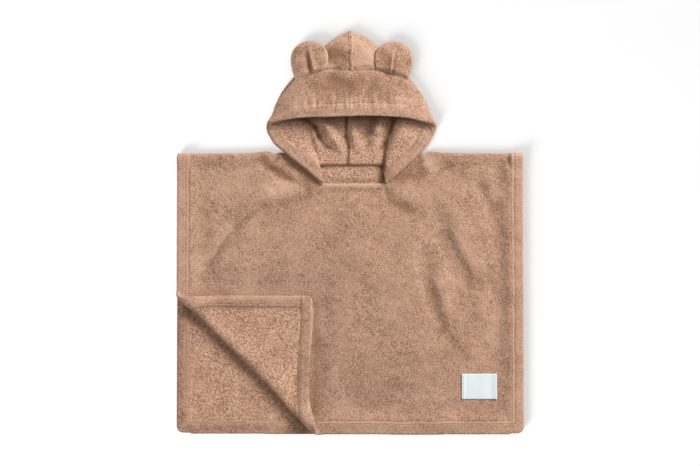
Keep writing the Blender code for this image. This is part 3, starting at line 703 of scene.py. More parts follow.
# Camera: its height in metres, and what its picture shows of the floor
CAMERA_HEIGHT = 2.2
PICTURE_PIXELS = 700
PIXEL_SIZE = 1.744 * MM
SENSOR = 36.0

# Floor, in metres, with the glow of a lit paper
FLOOR_REACH = 6.0
FLOOR_HEIGHT = -0.2 * MM
FLOOR_GLOW = 0.27

# Light: the strength of the white sky round it, and its lamps, in metres
SKY_STRENGTH = 0.52
LAMPS = [
    # name, x, y, z, width, power, whether it lights the floor and nothing else
    ("key light", 3.0, 2.8, 2.4, 1.9, 330.0, False),
    ("fill light", -2.0, -0.2, 2.0, 1.6, 9.0, False),
    ("floor light", -3.0, -3.4, 2.2, 2.4, 212.0, True),
]


# Sizes and colours that a user may change ------------------------------------------------


class PonchoSizes(bpy.types.PropertyGroup):
    """Sizes of the cloth and its sewing."""

    pile: bpy.props.FloatProperty(
        name="Pile",
        description="Depth of the plush on the outside",
        default=0.9 * MM,
        min=0.0,
        unit="LENGTH",
    )
    loops: bpy.props.FloatProperty(
        name="Loops",
        description="Depth of the curly pile on the inside",
        default=1.5 * MM,
        min=0.0,
        unit="LENGTH",
    )
    rumple: bpy.props.FloatProperty(
        name="Rumple",
        description="Height of the soft unevenness of the laid cloth",
        default=0.35 * MM,
        min=0.0,
        unit="LENGTH",
    )
    stitch: bpy.props.FloatProperty(
        name="Stitch length",
        description="Length of one stitch and the gap after it",
        default=3.4 * MM,
        min=1.0 * MM,
        unit="LENGTH",
    )


class PonchoColours(bpy.types.PropertyGroup):
    """Colours of the finishes."""

    plush: bpy.props.FloatVectorProperty(
        name="Plush",
        description="Colour of the brushed outside",
        default=(0.388, 0.226, 0.148),
        size=3,
        min=0.0,
        max=1.0,
        subtype="COLOR",
    )
    curls: bpy.props.FloatVectorProperty(
        name="Curly inside",
        description="Colour of the curly inside",
        default=(0.575, 0.340, 0.228),
        size=3,
        min=0.0,
        max=1.0,
        subtype="COLOR",
    )
    thread: bpy.props.FloatVectorProperty(
        name="Thread",
        description="Colour of the sewing thread",
        default=(0.360, 0.215, 0.145),
        size=3,
        min=0.0,
        max=1.0,
        subtype="COLOR",
    )
    label: bpy.props.FloatVectorProperty(
        name="Label",
        description="Colour of the woven label",
        default=(0.63, 0.685, 0.69),
        size=3,
        min=0.0,
        max=1.0,
        subtype="COLOR",
    )
    floor: bpy.props.FloatVectorProperty(
        name="Floor",
        description="Colour of the surface it lies on",
        default=(0.93, 0.93, 0.93),
        size=3,
        min=0.0,
        max=1.0,
        subtype="COLOR",
    )


# Shader maths ----------------------------------------------------------------------------


class Term:
    """A node's socket that can be used in sums, each of which adds a Math node."""

    def __init__(self, finish, socket):
        self.finish = finish
        self.socket = socket

    def combine(self, operation, first, second):
        return self.finish.node("Math", {"operation": operation}, {0: first, 1: second})[0]

    def __add__(self, other):
        return self.combine("ADD", self, other)

    def __radd__(self, other):
        return self.combine("ADD", other, self)

    def __sub__(self, other):
        return self.combine("SUBTRACT", self, other)

    def __rsub__(self, other):
        return self.combine("SUBTRACT", other, self)

    def __mul__(self, other):
        return self.combine("MULTIPLY", self, other)

    def __rmul__(self, other):
        return self.combine("MULTIPLY", other, self)


class Finish:
    """A material under construction."""

    def __init__(self, name):
        self.material = bpy.data.materials.new(name)
        self.material.use_nodes = True
        self.tree = self.material.node_tree
        self.tree.nodes.clear()

    def node(self, kind, settings, sockets):
        """Add a node: its settings first, then the value or link of each socket."""
        made = self.tree.nodes.new("ShaderNode" + kind)
        for setting, value in settings.items():
            setattr(made, setting, value)
        for name, value in sockets.items():
            if isinstance(value, Term):
                self.tree.links.new(value.socket, made.inputs[name])
            elif hasattr(value, "__len__") and made.inputs[name].type == "RGBA":
                made.inputs[name].default_value = (*value[:3], 1.0)
            else:
                made.inputs[name].default_value = value
        return [Term(self, socket) for socket in made.outputs]

    def mix(self, factor, first, second):
        """Blend two colours."""
        settings = {"data_type": "RGBA"}
        return self.node("Mix", settings, {0: factor, 6: first, 7: second})[2]

    def grain(self, place, turn, stretch):
        """The surface's place, turned and stretched so that a noise runs along the nap."""
        sockets = {"Vector": place, "Rotation": turn, "Scale": stretch}
        return self.node("Mapping", {"vector_type": "TEXTURE"}, sockets)[0]

    def noise(self, place, scale, detail, roughness=0.55):
        """Soft noise around 0.5."""
        sockets = {"Vector": place, "Scale": scale, "Detail": detail, "Roughness": roughness}
        return self.node("TexNoise", {}, sockets)[0]

    def bump(self, height, depth, strength=1.0):
        """The normal of a relief this deep."""
        sockets = {"Strength": strength, "Distance": depth, "Height": height}
        return self.node("Bump", {}, sockets)[0]

    def close(self, sockets):
        """End the material with a Principled shader that has these values and links."""
        shader = self.node("BsdfPrincipled", {}, sockets)[0]
        self.node("OutputMaterial", {}, {"Surface": shader})
        return self.material


def shade(colour, shares):
    """A colour made darker or lighter, by one share or by a share for each channel."""
    return tuple(np.minimum(np.array(colour) * shares, 1.0))


def plush_finish():
    """Brushed outside: nap in soft patches, fine streaks down its lay, and painted shade and
    highlights.
    """
    colour = tuple(bpy.context.scene.poncho_colours.plush)
    depth = bpy.context.scene.poncho_sizes.pile
    finish = Finish("plush outside")
    place = finish.node("TexCoord", {}, {})[3]
    nap_light_and_shade = finish.node("Attribute", {"attribute_name": "nap_light_and_shade"}, {})[2]
    along = finish.grain(place, (0.0, 0.0, math.radians(-42.0)), (2.2, 1.0, 1.0))
    streaks = finish.noise(along, 640.0, 3.0, 0.66)
    fibres = finish.noise(along, 1900.0, 2.0, 0.6)
    patches = finish.noise(place, 22.0, 3.0, 0.6)
    swept = finish.grain(place, (0.0, 0.0, -0.6), (1.7, 1.0, 1.0))
    brushed = finish.noise(swept, 95.0, 4.0, 0.6)
    grain = (streaks - 0.5) * 3.0 + (brushed - 0.5) * 0.95 + (patches - 0.5) * 0.65
    # the stored values raise or lower the tone: stroked nap, with painted shade and highlights
    tone = grain + nap_light_and_shade * 0.75 + 0.5
    deep = shade(colour, (0.48, 0.43, 0.39))
    dark = shade(colour, (0.82, 0.76, 0.72))
    light = shade(colour, (1.36, 1.45, 1.55))
    hollows = finish.mix((streaks - 0.5) * 4.0 + 0.5, deep, dark)
    tint = finish.mix(tone, hollows, light)
    pile = streaks * 1.1 + fibres * 0.25 + brushed * 0.7
    return finish.close(
        {
            "Normal": finish.bump(pile, depth),
            "Base Color": tint,
            "Roughness": 0.92,
            "Specular IOR Level": 0.12,
            "Sheen Weight": 0.36,
            "Sheen Roughness": 0.38,
            "Sheen Tint": (1.0, 0.90, 0.84),
        }
    )


def curls(finish, place, lay):
    """Height of crowded loops that lie along one direction, in degrees."""
    along = finish.grain(place, (0.0, 0.0, math.radians(lay)), (2.7, 1.0, 1.3))
    wander = finish.noise(place, 130.0, 2.0)
    sockets = {0: wander, 1: (0.004, 0.004, 0.004), 2: along}
    swept = finish.node("VectorMath", {"operation": "MULTIPLY_ADD"}, sockets)[0]
    loops = finish.node(
        "TexVoronoi",
        {"feature": "SMOOTH_F1"},
        {"Vector": swept, "Scale": 600.0, "Smoothness": 0.5, "Randomness": 1.0},
    )[0]
    strands = finish.noise(along, 760.0, 3.0, 0.65)
    return 1.0 - loops * 1.3 + (strands - 0.5) * 1.6


def curls_finish():
    """Curly inside: loops of pile in crowded rows, dark between them, and painted shade and
    highlights.
    """
    colour = tuple(bpy.context.scene.poncho_colours.curls)
    depth = bpy.context.scene.poncho_sizes.loops
    finish = Finish("curly inside")
    place = finish.node("TexCoord", {}, {})[3]
    nap_light_and_shade = finish.node("Attribute", {"attribute_name": "nap_light_and_shade"}, {})[2]
    patches = finish.noise(place, 34.0, 2.0)
    lay = finish.noise(place, 15.0, 1.0) * 9.0 - 4.2
    lay = finish.node("Clamp", {}, {0: lay})[0]
    pile = curls(finish, place, -46.0) * (1.0 - lay) + curls(finish, place, 38.0) * lay
    tone = (pile - 0.45) * 1.3 + (patches - 0.5) * 0.7 + 0.5
    dark = shade(colour, (0.54, 0.49, 0.45))
    light = shade(colour, (1.34, 1.40, 1.46))
    deep = shade(colour, (0.20, 0.15, 0.11))
    tint = finish.mix(tone + nap_light_and_shade * 0.5, dark, light)
    # deep is the colour of the painted shadow in the inside's folds, seams, brim and turned corner
    tint = finish.mix(nap_light_and_shade * -0.55, tint, deep)
    return finish.close(
        {
            "Normal": finish.bump(pile, depth),
            "Base Color": tint,
            "Roughness": 0.94,
            "Specular IOR Level": 0.10,
            "Sheen Weight": 0.25,
            "Sheen Roughness": 0.4,
            "Sheen Tint": (1.0, 0.86, 0.72),
        }
    )


def thread_finish():
    """Sewing thread: matt, its two strands twisted together."""
    colour = tuple(bpy.context.scene.poncho_colours.thread)
    finish = Finish("sewing thread")
    place = finish.node("TexCoord", {}, {})[3]
    strands = finish.noise(finish.grain(place, (0.0, 0.0, 0.6), (3.0, 1.0, 1.0)), 3200.0, 2.0)
    tint = finish.mix(strands, shade(colour, 0.7), shade(colour, 1.25))
    relief = finish.bump(strands, 0.1 * MM, 0.6)
    return finish.close(
        {"Normal": relief, "Base Color": tint, "Roughness": 0.7, "Sheen Weight": 0.2}
    )


def label_finish():
    """Woven satin tape: fine ribs across, a little uneven in tone."""
    colour = tuple(bpy.context.scene.poncho_colours.label)
    finish = Finish("woven label")
    place = finish.node("TexCoord", {}, {})[3]
    woven = []
    for direction, scale, distortion in (("Y", 520.0, 0.4), ("X", 700.0, 0.3)):
        settings = {"wave_type": "BANDS", "bands_direction": direction}
        sockets = {"Vector": place, "Scale": scale, "Distortion": distortion, "Detail": 1.0}
        woven.append(finish.node("TexWave", settings, sockets)[1])
    cloudy = finish.noise(place, 60.0, 3.0)
    weave = woven[0] * 0.65 + woven[1] * 0.35
    tint = finish.mix(cloudy * 0.6 + weave * 0.3, shade(colour, 0.90), shade(colour, 1.08))
    return finish.close(
        {
            "Normal": finish.bump(weave, 0.15 * MM, 0.4),
            "Base Color": tint,
            "Roughness": 0.55,
            "Specular IOR Level": 0.35,
            "Sheen Weight": 0.1,
        }
    )


def found_finish(name, make):
    """A finish by its name, made the first time it is asked for."""
    return bpy.data.materials.get(name) or make()


def cloth_finishes():
    """The two faces of the cloth."""
    outside = found_finish("plush outside", plush_finish)
    return [outside, found_finish("curly inside", curls_finish)]


# Cloth walls -----------------------------------------------------------------------------


def smooth(low, high, value):
    """Rise from 0 at low to 1 at high with level ends."""
    t = np.clip((np.asarray(value, dtype=float) - low) / (high - low), 0.0, 1.0)
    return t * t * (3.0 - 2.0 * t)


def rounded(distance, reach):
    """Share of the full thickness left at this distance from a rounded edge."""
    t = np.clip(distance / reach, 0.0, 1.0)
    return EDGE_THIN + (1.0 - EDGE_THIN) * np.sqrt(1.0 - (1.0 - t) ** 2)


def unevenness(x, y, wave, seed):
    """A soft random surface around 0, of waves that are about this many millimetres long."""
    count = 9
    rng = np.random.default_rng(seed)
    total = np.zeros(np.broadcast(x, y).shape)
    for turn, phase, stretch in rng.uniform(0.0, 1.0, (count, 3)):
        angle = turn * 2.0 * math.pi
        rate = 2.0 * math.pi / (wave * (0.7 + 0.8 * stretch))
        total += np.sin((x * math.cos(angle) + y * math.sin(angle)) * rate + phase * 6.3)
    return total * 2.0 / count


def crease_height(table, x, y):
    """Sum of soft ridges and troughs at each point."""
    total = np.zeros(np.broadcast(x, y).shape)
    for x0, y0, x1, y1, width, height in table:
        run = (x1 - x0, y1 - y0)
        length = math.hypot(*run)
        along = ((x - x0) * run[0] + (y - y0) * run[1]) / length
        across = ((x - x0) * run[1] - (y - y0) * run[0]) / length
        beyond = np.maximum(np.maximum(-along, along - length), 0.0)
        total += height * np.exp(-((across / width) ** 2) - (beyond / width) ** 2)
    return total


def grid_normals(middle):
    """Unit normals of a grid of points, columns crossed with rows."""
    normal = np.cross(np.gradient(middle, axis=1), np.gradient(middle, axis=0))
    return normal / np.maximum(np.linalg.norm(normal, axis=2, keepdims=True), 1e-9)


def cell_centres(values):
    """Mean of the values at the four corners of each cell of a grid."""
    return (values[:-1, :-1] + values[1:, :-1] + values[:-1, 1:] + values[1:, 1:]) / 4.0


def grid_cells(rows, columns):
    """The four corners of each cell of a grid, whose points are counted row by row."""
    index = np.arange(rows * columns).reshape(rows, columns)
    return np.stack([index[:-1, :-1], index[:-1, 1:], index[1:, 1:], index[1:, :-1]], axis=2)


def closed_faces(top, count):
    """Faces of a skin, of its copy that many points further on, and of the rim between."""
    starts = top.ravel()
    ends = np.roll(top, -1, axis=1).ravel()
    open_edges = ~np.isin(starts * count + ends, ends * count + starts)
    start, end = starts[open_edges], ends[open_edges]
    rim = np.stack([end, start, start + count, end + count], axis=1)
    return np.concatenate([top, top[:, ::-1] + count, rim])


def make_wall(name, middle, offsets, inside, nap_and_shade, lining_light_and_shade, keep=None, flip=False):
    """A closed thin wall of cloth around a grid of points, in millimetres.

    offsets are the distances to its inner and outer skins, inside says where the inner
    skin shows the curly face, nap_and_shade and lining_light_and_shade how light or dark the
    outer and inner skins are, by stroked nap and by painted shade and highlights, and keep
    which of the grid's cells are cloth.
    """
    normal = grid_normals(middle) * (-1.0 if flip else 1.0)
    inner, outer = (offset[..., None] for offset in offsets)
    skins = np.stack([middle + normal * outer, middle - normal * inner])
    skins[..., 2] = np.maximum(skins[..., 2], 0.0)
    cells = grid_cells(*middle.shape[:2])
    if keep is None:
        keep = np.ones(cells.shape[:2], dtype=bool)
    outer_faces = cells[keep]
    if flip:
        outer_faces = outer_faces[:, ::-1]
    faces = closed_faces(outer_faces, nap_and_shade.size)
    finishes = np.zeros(len(faces), dtype=int)
    finishes[len(outer_faces) : 2 * len(outer_faces)] = cell_centres(inside)[keep] > 0.5
    used, faces = np.unique(faces, return_inverse=True)
    points = skins.reshape(-1, 3)[used] * MM
    made = make_mesh(name, points, faces.reshape(-1, 4), finishes)
    store_light_and_shade(made, np.concatenate([nap_and_shade.ravel(), lining_light_and_shade.ravel()])[used])
    return made


def make_mesh(name, points, faces, finishes):
    """An object from points in metres, with smooth faces."""
    data = bpy.data.meshes.new(name)
    data.from_pydata(points.tolist(), [], faces.tolist())
    data.polygons.foreach_set("material_index", finishes)
    data.shade_smooth()
    data.update()
    made = bpy.data.objects.new(name, data)
    bpy.context.collection.objects.link(made)
    return made


def store_light_and_shade(made, amounts):
    """Store how light or dark each point is, by its stroked nap and by painted shade and
    highlights.
    """
    layer = made.data.attributes.new("nap_light_and_shade", "FLOAT", "POINT")
    layer.data.foreach_set("value", np.asarray(amounts, dtype=np.float32).ravel())


def run_along(path, weights=1.0):
    """How far each point of a path lies from its start, along it, its steps weighted."""
    lengths = np.linalg.norm(np.diff(path, axis=0), axis=1) * weights
    return np.concatenate([[0.0], np.cumsum(lengths)])


def spaced(start, end, step):
    """Evenly spaced values from start to end, about a step apart."""
    return np.linspace(start, end, max(round(abs(end - start) / step), 1) + 1)


def curve_row(rows, place):
    """Read a table of rows as one smooth curve, at a place counted in rows."""
    rows = np.asarray(rows, dtype=float)
    last = len(rows) - 1
    index = min(int(place), last - 1)
    t = place - index
    before = rows[max(index - 1, 0)]
    start = rows[index]
    end = rows[index + 1]
    after = rows[min(index + 2, last)]
    bend = 2.0 * before - 5.0 * start + 4.0 * end - after
    twist = 3.0 * (start - end) + after - before
    return start + 0.5 * t * ((end - before) + t * (bend + t * twist))


def finish_piece(made, finishes, node=None):
    """Give a piece its materials and slot, and let it stand for its solid if it has one."""
    for finish in finishes:
        made.data.materials.append(finish)
    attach(made, BODY)
    if node:
        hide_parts(node)
    return made


# Body ------------------------------------------------------------------------------------
#
# A place on the flat cloth is x, across it, and s, along it from the shoulder fold: above 0
# down the front, below 0 down the back.


def fold_y(radius):
    """Y of the centre that the shoulder fold turns about."""
    return SHOULDER_Y - radius - CLOTH / 2.0


BODY_LENGTH = fold_y(FOLD_RADIUS) + math.pi * FOLD_RADIUS / 2.0 - HEM_Y


def half_width(s):
    """Half the cloth's width, which grows a little towards its ends."""
    return BODY_WIDTH / 2.0 + BODY_FLARE * np.abs(s) / BODY_LENGTH


def edge_distance(x, s):
    """Distance to the nearest of the cloth's four edges."""
    return np.minimum(half_width(s) - np.abs(x), BODY_LENGTH - np.abs(s))


def hem_at(x, s):
    """1 on the turned hem round the body, 0 on the plain cloth."""
    step = HEM_STEP / 2.0
    return 1.0 - smooth(HEM_WIDTH - step, HEM_WIDTH + step, edge_distance(x, s))


def hem_turn(x, s):
    """How many thicknesses the turned hem adds inwards, its raw edge soft in the pile."""
    end = HEM_WIDTH + HEM_SOFT_REACH
    return HEM_SOFT * (1.0 - smooth(STITCH_LINES[0], end, edge_distance(x, s)))


def hem_rise(x, s):
    """How far the hems lift the cloth that lies on them, easing down beside them."""
    return 1.0 - smooth(HEM_WIDTH - HEM_STEP / 2.0, HEM_WIDTH + HEM_RISE, edge_distance(x, s))


def neck_distance(x, y):
    """How far a point of the front lies outside the neck hole's rim."""
    left, right = NECK_AT_FOLD
    low_left, low_right = NECK_AT_FRONT
    top = fold_y(FOLD_RADIUS)
    bottom = top - NECK_FRONT_DROP
    drop = np.clip((top - y) / (top - bottom), 0.0, 1.0)
    near_x = np.clip(x, left + (low_left - left) * drop, right + (low_right - right) * drop)
    return np.hypot(x - near_x, np.minimum(y - bottom, 0.0))


def front_loft(x, y):
    """Air under the front, over its flat place on the back."""
    rumple = bpy.context.scene.poncho_sizes.rumple / MM
    sides = np.minimum(BODY_WIDTH / 2.0 - np.abs(x), y - HEM_Y)
    from_edge = np.minimum(sides, SHOULDER_Y - y + LOFT_TO_FOLD)
    loft = FRONT_LOFT * smooth(HEM_WIDTH, LOFT_EDGE, from_edge)
    creases = CREASE_SHARE * crease_height(CREASES, x, y) + crease_height(FINE_CREASES, x, y)
    creases += rumple * unevenness(x, y, RUMPLE_WAVE, seed=3)
    creases += rumple * RUMPLE_FINE_SHARE * unevenness(x, y, RUMPLE_FINE_WAVE, seed=4)
    loft += creases * smooth(*CREASE_EDGE, from_edge)
    loft = (loft + np.hypot(loft, LOFT_SOFTENING)) / 2.0
    corner_x, corner_y = FLAP_CORNER
    from_flap = np.hypot(np.maximum(x - corner_x, 0.0), np.maximum(y - corner_y, 0.0))
    loft *= smooth(LAID_EDGE, FLAP_FLAT, from_flap)
    return loft * smooth(LAID_EDGE, NECK_FLAT, neck_distance(x, y))


def front_height(x, s, y):
    """Height of the front cloth's middle where it lies on the back."""
    rise = hem_rise(x, s)
    under = CLOTH * (1.0 + rise) + LAYER_GAP
    return under + CLOTH * (0.5 + rise) + front_loft(x, y)


def back_lift(x, y):
    """How far the back panel rises off the surface in its own soft folds."""
    sides = np.minimum(BODY_WIDTH / 2.0 - np.abs(x), y - HEM_Y)
    from_edge = np.minimum(sides, SHOULDER_Y - NECK_FLAT - y)
    return crease_height(BACK_CREASES, x, y) * smooth(CREASE_EDGE[1], LOFT_EDGE, from_edge)


def shoulder_radius(x):
    """Radius of the shoulder fold: fuller at the hems, pressed flat beside the neck."""
    beside = np.minimum(np.abs(x - NECK_AT_FOLD[0]), np.abs(x - NECK_AT_FOLD[1]))
    let_out = smooth(*NECK_PRESSED, beside)
    plain = NECK_FOLD_RADIUS + (FOLD_RADIUS - NECK_FOLD_RADIUS) * let_out
    return plain + CLOTH * hem_at(x, 0.0)


def shoulder_shift(x):
    """How far the shoulder line rises or dips along the fold."""
    shift = np.zeros(np.shape(x))
    for place, width, height in SHOULDER_BUMPS:
        shift += height * np.exp(-(((x - place) / width) ** 2))
    return shift


def lay_on_body(x, s):
    """The folded cloth's middle, before its corner is turned back."""
    radius = shoulder_radius(x)
    quarter = math.pi * radius / 2.0
    centre_y = fold_y(radius) + shoulder_shift(x) * (1.0 - smooth(*SHOULDER_FADE, np.abs(s)))
    angle = np.clip(s, -quarter, quarter) / radius
    back_y = centre_y + s + quarter
    front_y = centre_y - (s - quarter)
    top = CLOTH / 2.0 + 2.0 * radius
    settle = smooth(0.0, FOLD_SETTLE, s - quarter)
    front_z = top + (front_height(x, s, front_y) - top) * settle
    back_z = CLOTH / 2.0 + back_lift(x, back_y)
    fold_z = CLOTH / 2.0 + radius * (1.0 + np.sin(angle))
    places = [s < -quarter, s > quarter]
    y = np.select(places, [back_y, front_y], centre_y + radius * np.cos(angle))
    z = np.select(places, [back_z, front_z], fold_z)
    return np.stack([x, y, z], axis=-1)


def round_corner(x, s):
    """Round the cloth's four corners off."""
    beside = np.clip(1.0 - (half_width(s) - np.abs(x)) / CORNER_RADIUS, 0.0, 1.0)
    beyond = np.clip(1.0 - (BODY_LENGTH - np.abs(s)) / CORNER_RADIUS, 0.0, 1.0)
    drawn_x = CORNER_RADIUS * beside * (1.0 - np.sqrt(1.0 - beyond**2 / 2.0))
    drawn_s = CORNER_RADIUS * beyond * (1.0 - np.sqrt(1.0 - beside**2 / 2.0))
    return x - np.copysign(drawn_x, x), s - np.copysign(drawn_s, s)


def turn_frame():
    """Start of the diagonal fold, pulled in by the roll, and its direction to the corner."""
    start = np.array(TURN_START)
    run = np.array(TURN_END) - start
    outward = np.array((run[1], -run[0])) / np.linalg.norm(run)
    return start - outward * (TURN_RADIUS + CLOTH / 2.0), outward


def body_middle(x, s):
    """The cloth's middle surface, with the front corner turned back over its diagonal."""
    x, s = round_corner(x, s)
    flat = lay_on_body(x, s)
    start, outward = turn_frame()
    past = (flat[..., 0] - start[0]) * outward[0] + (flat[..., 1] - start[1]) * outward[1]
    turned = (s > 0.0) & (past > 0.0)
    fold_x = flat[..., 0] - outward[0] * past
    fold_line_y = flat[..., 1] - outward[1] * past
    fold_s = s + flat[..., 1] - fold_line_y
    radius = TURN_RADIUS + TURN_HEM_EXTRA * hem_rise(fold_x, fold_s)
    low = front_height(fold_x, fold_s, fold_line_y)
    angle = np.clip(past / radius, 0.0, math.pi)
    beyond = np.maximum(past - math.pi * radius, 0.0) * TURN_EASE
    out = radius * np.sin(angle) - beyond
    place_x = fold_x + outward[0] * out
    place_y = fold_line_y + outward[1] * out
    from_end = np.hypot(place_x - TURN_END[0], place_y - TURN_END[1])
    drawn = smooth(*FLAP_DRAW_START, from_end) * (1.0 - smooth(*FLAP_DRAW_END, from_end))
    place_x = place_x - FLAP_DRAW * drawn * smooth(-FLAP_DRAW_WIDTH, 0.0, place_x - FLAP_CORNER[0])
    under_s = s + flat[..., 1] - place_y
    rest = front_height(place_x, under_s, place_y) + CLOTH + FLAP_GAP
    high = low + 2.0 * radius
    settle = np.exp(-((beyond / TURN_EASE / TURN_SETTLE) ** 2))
    lying = rest + np.maximum(high - rest, 0.0) * settle
    rolling = low + radius * (1.0 - np.cos(angle))
    z = np.where(past < math.pi * radius, rolling, lying)
    rolled = np.stack([place_x, place_y, z], axis=-1)
    return np.where(turned[..., None], rolled, flat)


def stitch_wander(x, s):
    """How far the hem's stitched lines wander from their distance to the edge."""
    nearer = (half_width(s) - np.abs(x)) - (BODY_LENGTH - np.abs(s))
    ends = smooth(-CORNER_BLEND, CORNER_BLEND, nearer)
    return STITCH_WANDER * unevenness(x, s, wave=38.0, seed=12) + END_HEM_EXTRA * ends


def body_offsets(x, s):
    """Thickness on each side: the hem is turned to the inside and stitched down."""
    distance = edge_distance(x, s)
    along = np.where(half_width(s) - np.abs(x) < BODY_LENGTH - np.abs(s), s, x)
    puckers = unevenness(along, distance * 0.4, wave=11.0, seed=11)
    sewn = distance - stitch_wander(x, s)
    groove = sum(np.exp(-(((sewn - line) / STITCH_WIDTH) ** 2)) for line in STITCH_LINES)
    groove = STITCH_GROOVE * groove * (1.0 + PUCKER_GROOVE * puckers)
    beside = np.exp(-((distance - sum(STITCH_LINES) / 2.0) / PUCKER_REACH) ** 2)
    outer = CLOTH / 2.0 - groove + PUCKER_OUT * puckers * beside
    outer += NECK_ROLL * np.exp(-(((neck_edge(x, s) - NECK_ROLL_AT) / NECK_ROLL_AT) ** 2))
    inner = CLOTH / 2.0 + CLOTH * hem_turn(x, s) - groove + PUCKER_IN * puckers * beside
    share = rounded(np.minimum(distance, neck_edge(x, s)), EDGE_ROUND)
    middle = (outer - inner) / 2.0
    half = (outer + inner) / 2.0 * share
    return half - middle, half + middle


def neck_edge(x, s):
    """Cloth distance to the rim of the neck hole on the front."""
    left, right = NECK_AT_FRONT
    beside = (x <= left - NECK_EDGE_SIDES) | (x >= right + NECK_EDGE_SIDES)
    away = beside | (s < NECK_FRONT_DROP - NECK_EDGE_ABOVE)
    return np.where(away, BODY_LENGTH, s - NECK_FRONT_DROP)


def pinch(value, corners_in, corners_out, edge):
    """Draw columns in towards the neck hole's corners, and let them out to the sides."""
    known = [-edge, corners_in[0], corners_in[1], edge]
    return np.interp(value, known, [-edge, corners_out[0], corners_out[1], edge])


def shape_neck(x, s):
    """Bend the body's grid so its lines follow the rim of the neck hole."""
    edge = BODY_WIDTH / 2.0 - EDGE_STEPS[-1]
    amount = np.clip(s / NECK_FRONT_DROP, 0.0, 1.0)
    amount = amount * (1.0 - smooth(NECK_FRONT_DROP, NECK_FRONT_DROP + NECK_RELEASE, s))
    front_x = x + (pinch(x, NECK_AT_FOLD, NECK_AT_FRONT, edge) - x) * amount
    amount = np.clip(-s / NECK_BACK_DROP, 0.0, 1.0)
    release = smooth(NECK_BACK_DROP, NECK_BACK_DROP + NECK_RELEASE, -s)
    back_x = x + (pinch(x, NECK_AT_FOLD, NECK_AT_BACK, edge) - x) * amount * (1.0 - release)
    middle = sum(NECK_AT_FOLD) / 2.0
    reach = (NECK_AT_FOLD[1] - NECK_AT_FOLD[0]) / 2.0
    from_middle = np.minimum(np.abs(x - middle) / reach, 1.0) ** 4
    raised = (NECK_BACK_DROP - NECK_BACK_CORNER) * from_middle * amount
    outside = smooth(edge, reach, np.abs(x - middle))
    back_s = s + raised * (1.0 - release) * outside
    inside = np.abs(x) < edge
    shaped_x = np.where(s >= 0.0, front_x, back_x)
    shaped_s = np.where(s >= 0.0, s, back_s)
    return np.where(inside, shaped_x, x), np.where(inside, shaped_s, s)


def body_columns():
    """Places across the cloth, closer together on its hems."""
    left, right = NECK_AT_FOLD
    edge = BODY_WIDTH / 2.0
    inner = edge - EDGE_STEPS[-1]
    left_part = spaced(-inner, left, CLOTH_STEP)[1:]
    neck_part = spaced(left, right, CLOTH_STEP)[1:]
    right_part = spaced(right, inner, CLOTH_STEP)[1:-1]
    sides = np.array(EDGE_STEPS)
    return np.concatenate([sides - edge, left_part, neck_part, right_part, edge - sides[::-1]])


def body_rows():
    """Places along the cloth, closer together on its hems, its fold and the neck's rim."""
    quarter = math.pi * (FOLD_RADIUS + CLOTH) / 2.0
    hem = BODY_LENGTH - np.array(EDGE_STEPS)[::-1]
    rim = NECK_FRONT_DROP + np.array(NECK_RIM_STEPS)
    arc = spaced(-quarter, quarter, FOLD_STEP)
    to_neck = spaced(quarter, NECK_FRONT_DROP, CLOTH_STEP)[1:-1]
    panel = spaced(rim[-1], hem[0], CLOTH_STEP)[1:-1]
    to_back = -spaced(quarter, NECK_BACK_DROP, CLOTH_STEP)[1:]
    back = -spaced(NECK_BACK_DROP, hem[0], BACK_STEP)[1:-1]
    front = [*arc, *to_neck, *rim, *panel, *hem]
    return np.array([*(-hem[::-1]), *back[::-1], *to_back[::-1], *front])


def make_body():
    """The body: its flat grid with the neck hole left out, shaped, laid down and thickened."""
    columns = body_columns()
    rows = body_rows()
    grid_x, grid_s = np.meshgrid(columns, rows)
    middle_x = (columns[1:] + columns[:-1]) / 2.0
    middle_s = (rows[1:] + rows[:-1]) / 2.0
    across = (middle_x > NECK_AT_FOLD[0]) & (middle_x < NECK_AT_FOLD[1])
    along = (middle_s > -NECK_BACK_DROP) & (middle_s < NECK_FRONT_DROP)
    keep = ~(along[:, None] & across[None, :])
    x, s = shape_neck(grid_x, grid_s)
    x = x * (1.0 + BODY_FLARE * np.abs(s) / BODY_LENGTH / (BODY_WIDTH / 2.0))
    plain = 1.0 - hem_at(x, s)
    laid = lay_on_body(x, s)
    # painted shade and highlights of the front's creases and rims, with its stroked nap
    nap_and_shade = crease_height(FRONT_NAP_AND_SHADE, laid[..., 0], laid[..., 1]) * (s > 0.0)
    nap_and_shade += PATCHY_NAP * unevenness(laid[..., 0], laid[..., 1], wave=60.0, seed=12)
    nap_and_shade += HEM_NAP * (1.0 - smooth(HEM_NAP_EDGE, HEM_WIDTH, half_width(s) - np.abs(x)))
    # a painted highlight on the ridge between the two stitched lines
    between = edge_distance(x, s) - stitch_wander(x, s) - sum(STITCH_LINES) / 2.0
    nap_and_shade += STITCH_HIGHLIGHT * np.exp(-((between / STITCH_NAP_REACH) ** 2))
    middle = body_middle(x, s)
    # painted shadow and highlights on the body's curly inside
    lining_light_and_shade = crease_height(INSIDE_LIGHT_AND_SHADE, middle[..., 0], middle[..., 1])
    offsets = body_offsets(x, s)
    return make_wall("body_cloth", middle, offsets, plain, nap_and_shade, lining_light_and_shade, keep, flip=True)


# Hood ------------------------------------------------------------------------------------


def hood_row(table, place):
    """Seam, hem and fold points of the hood at one place along its length."""
    row = curve_row(table, place)
    centre = curve_row(CENTRE_SEAM, place)
    return {"seam": row[0:3], "hem": row[3:6], "fold": row[6:8], "centre": centre}


def side_of(table):
    """-1 for the hood's left side, 1 for its right one."""
    return math.copysign(1.0, table[0][0])


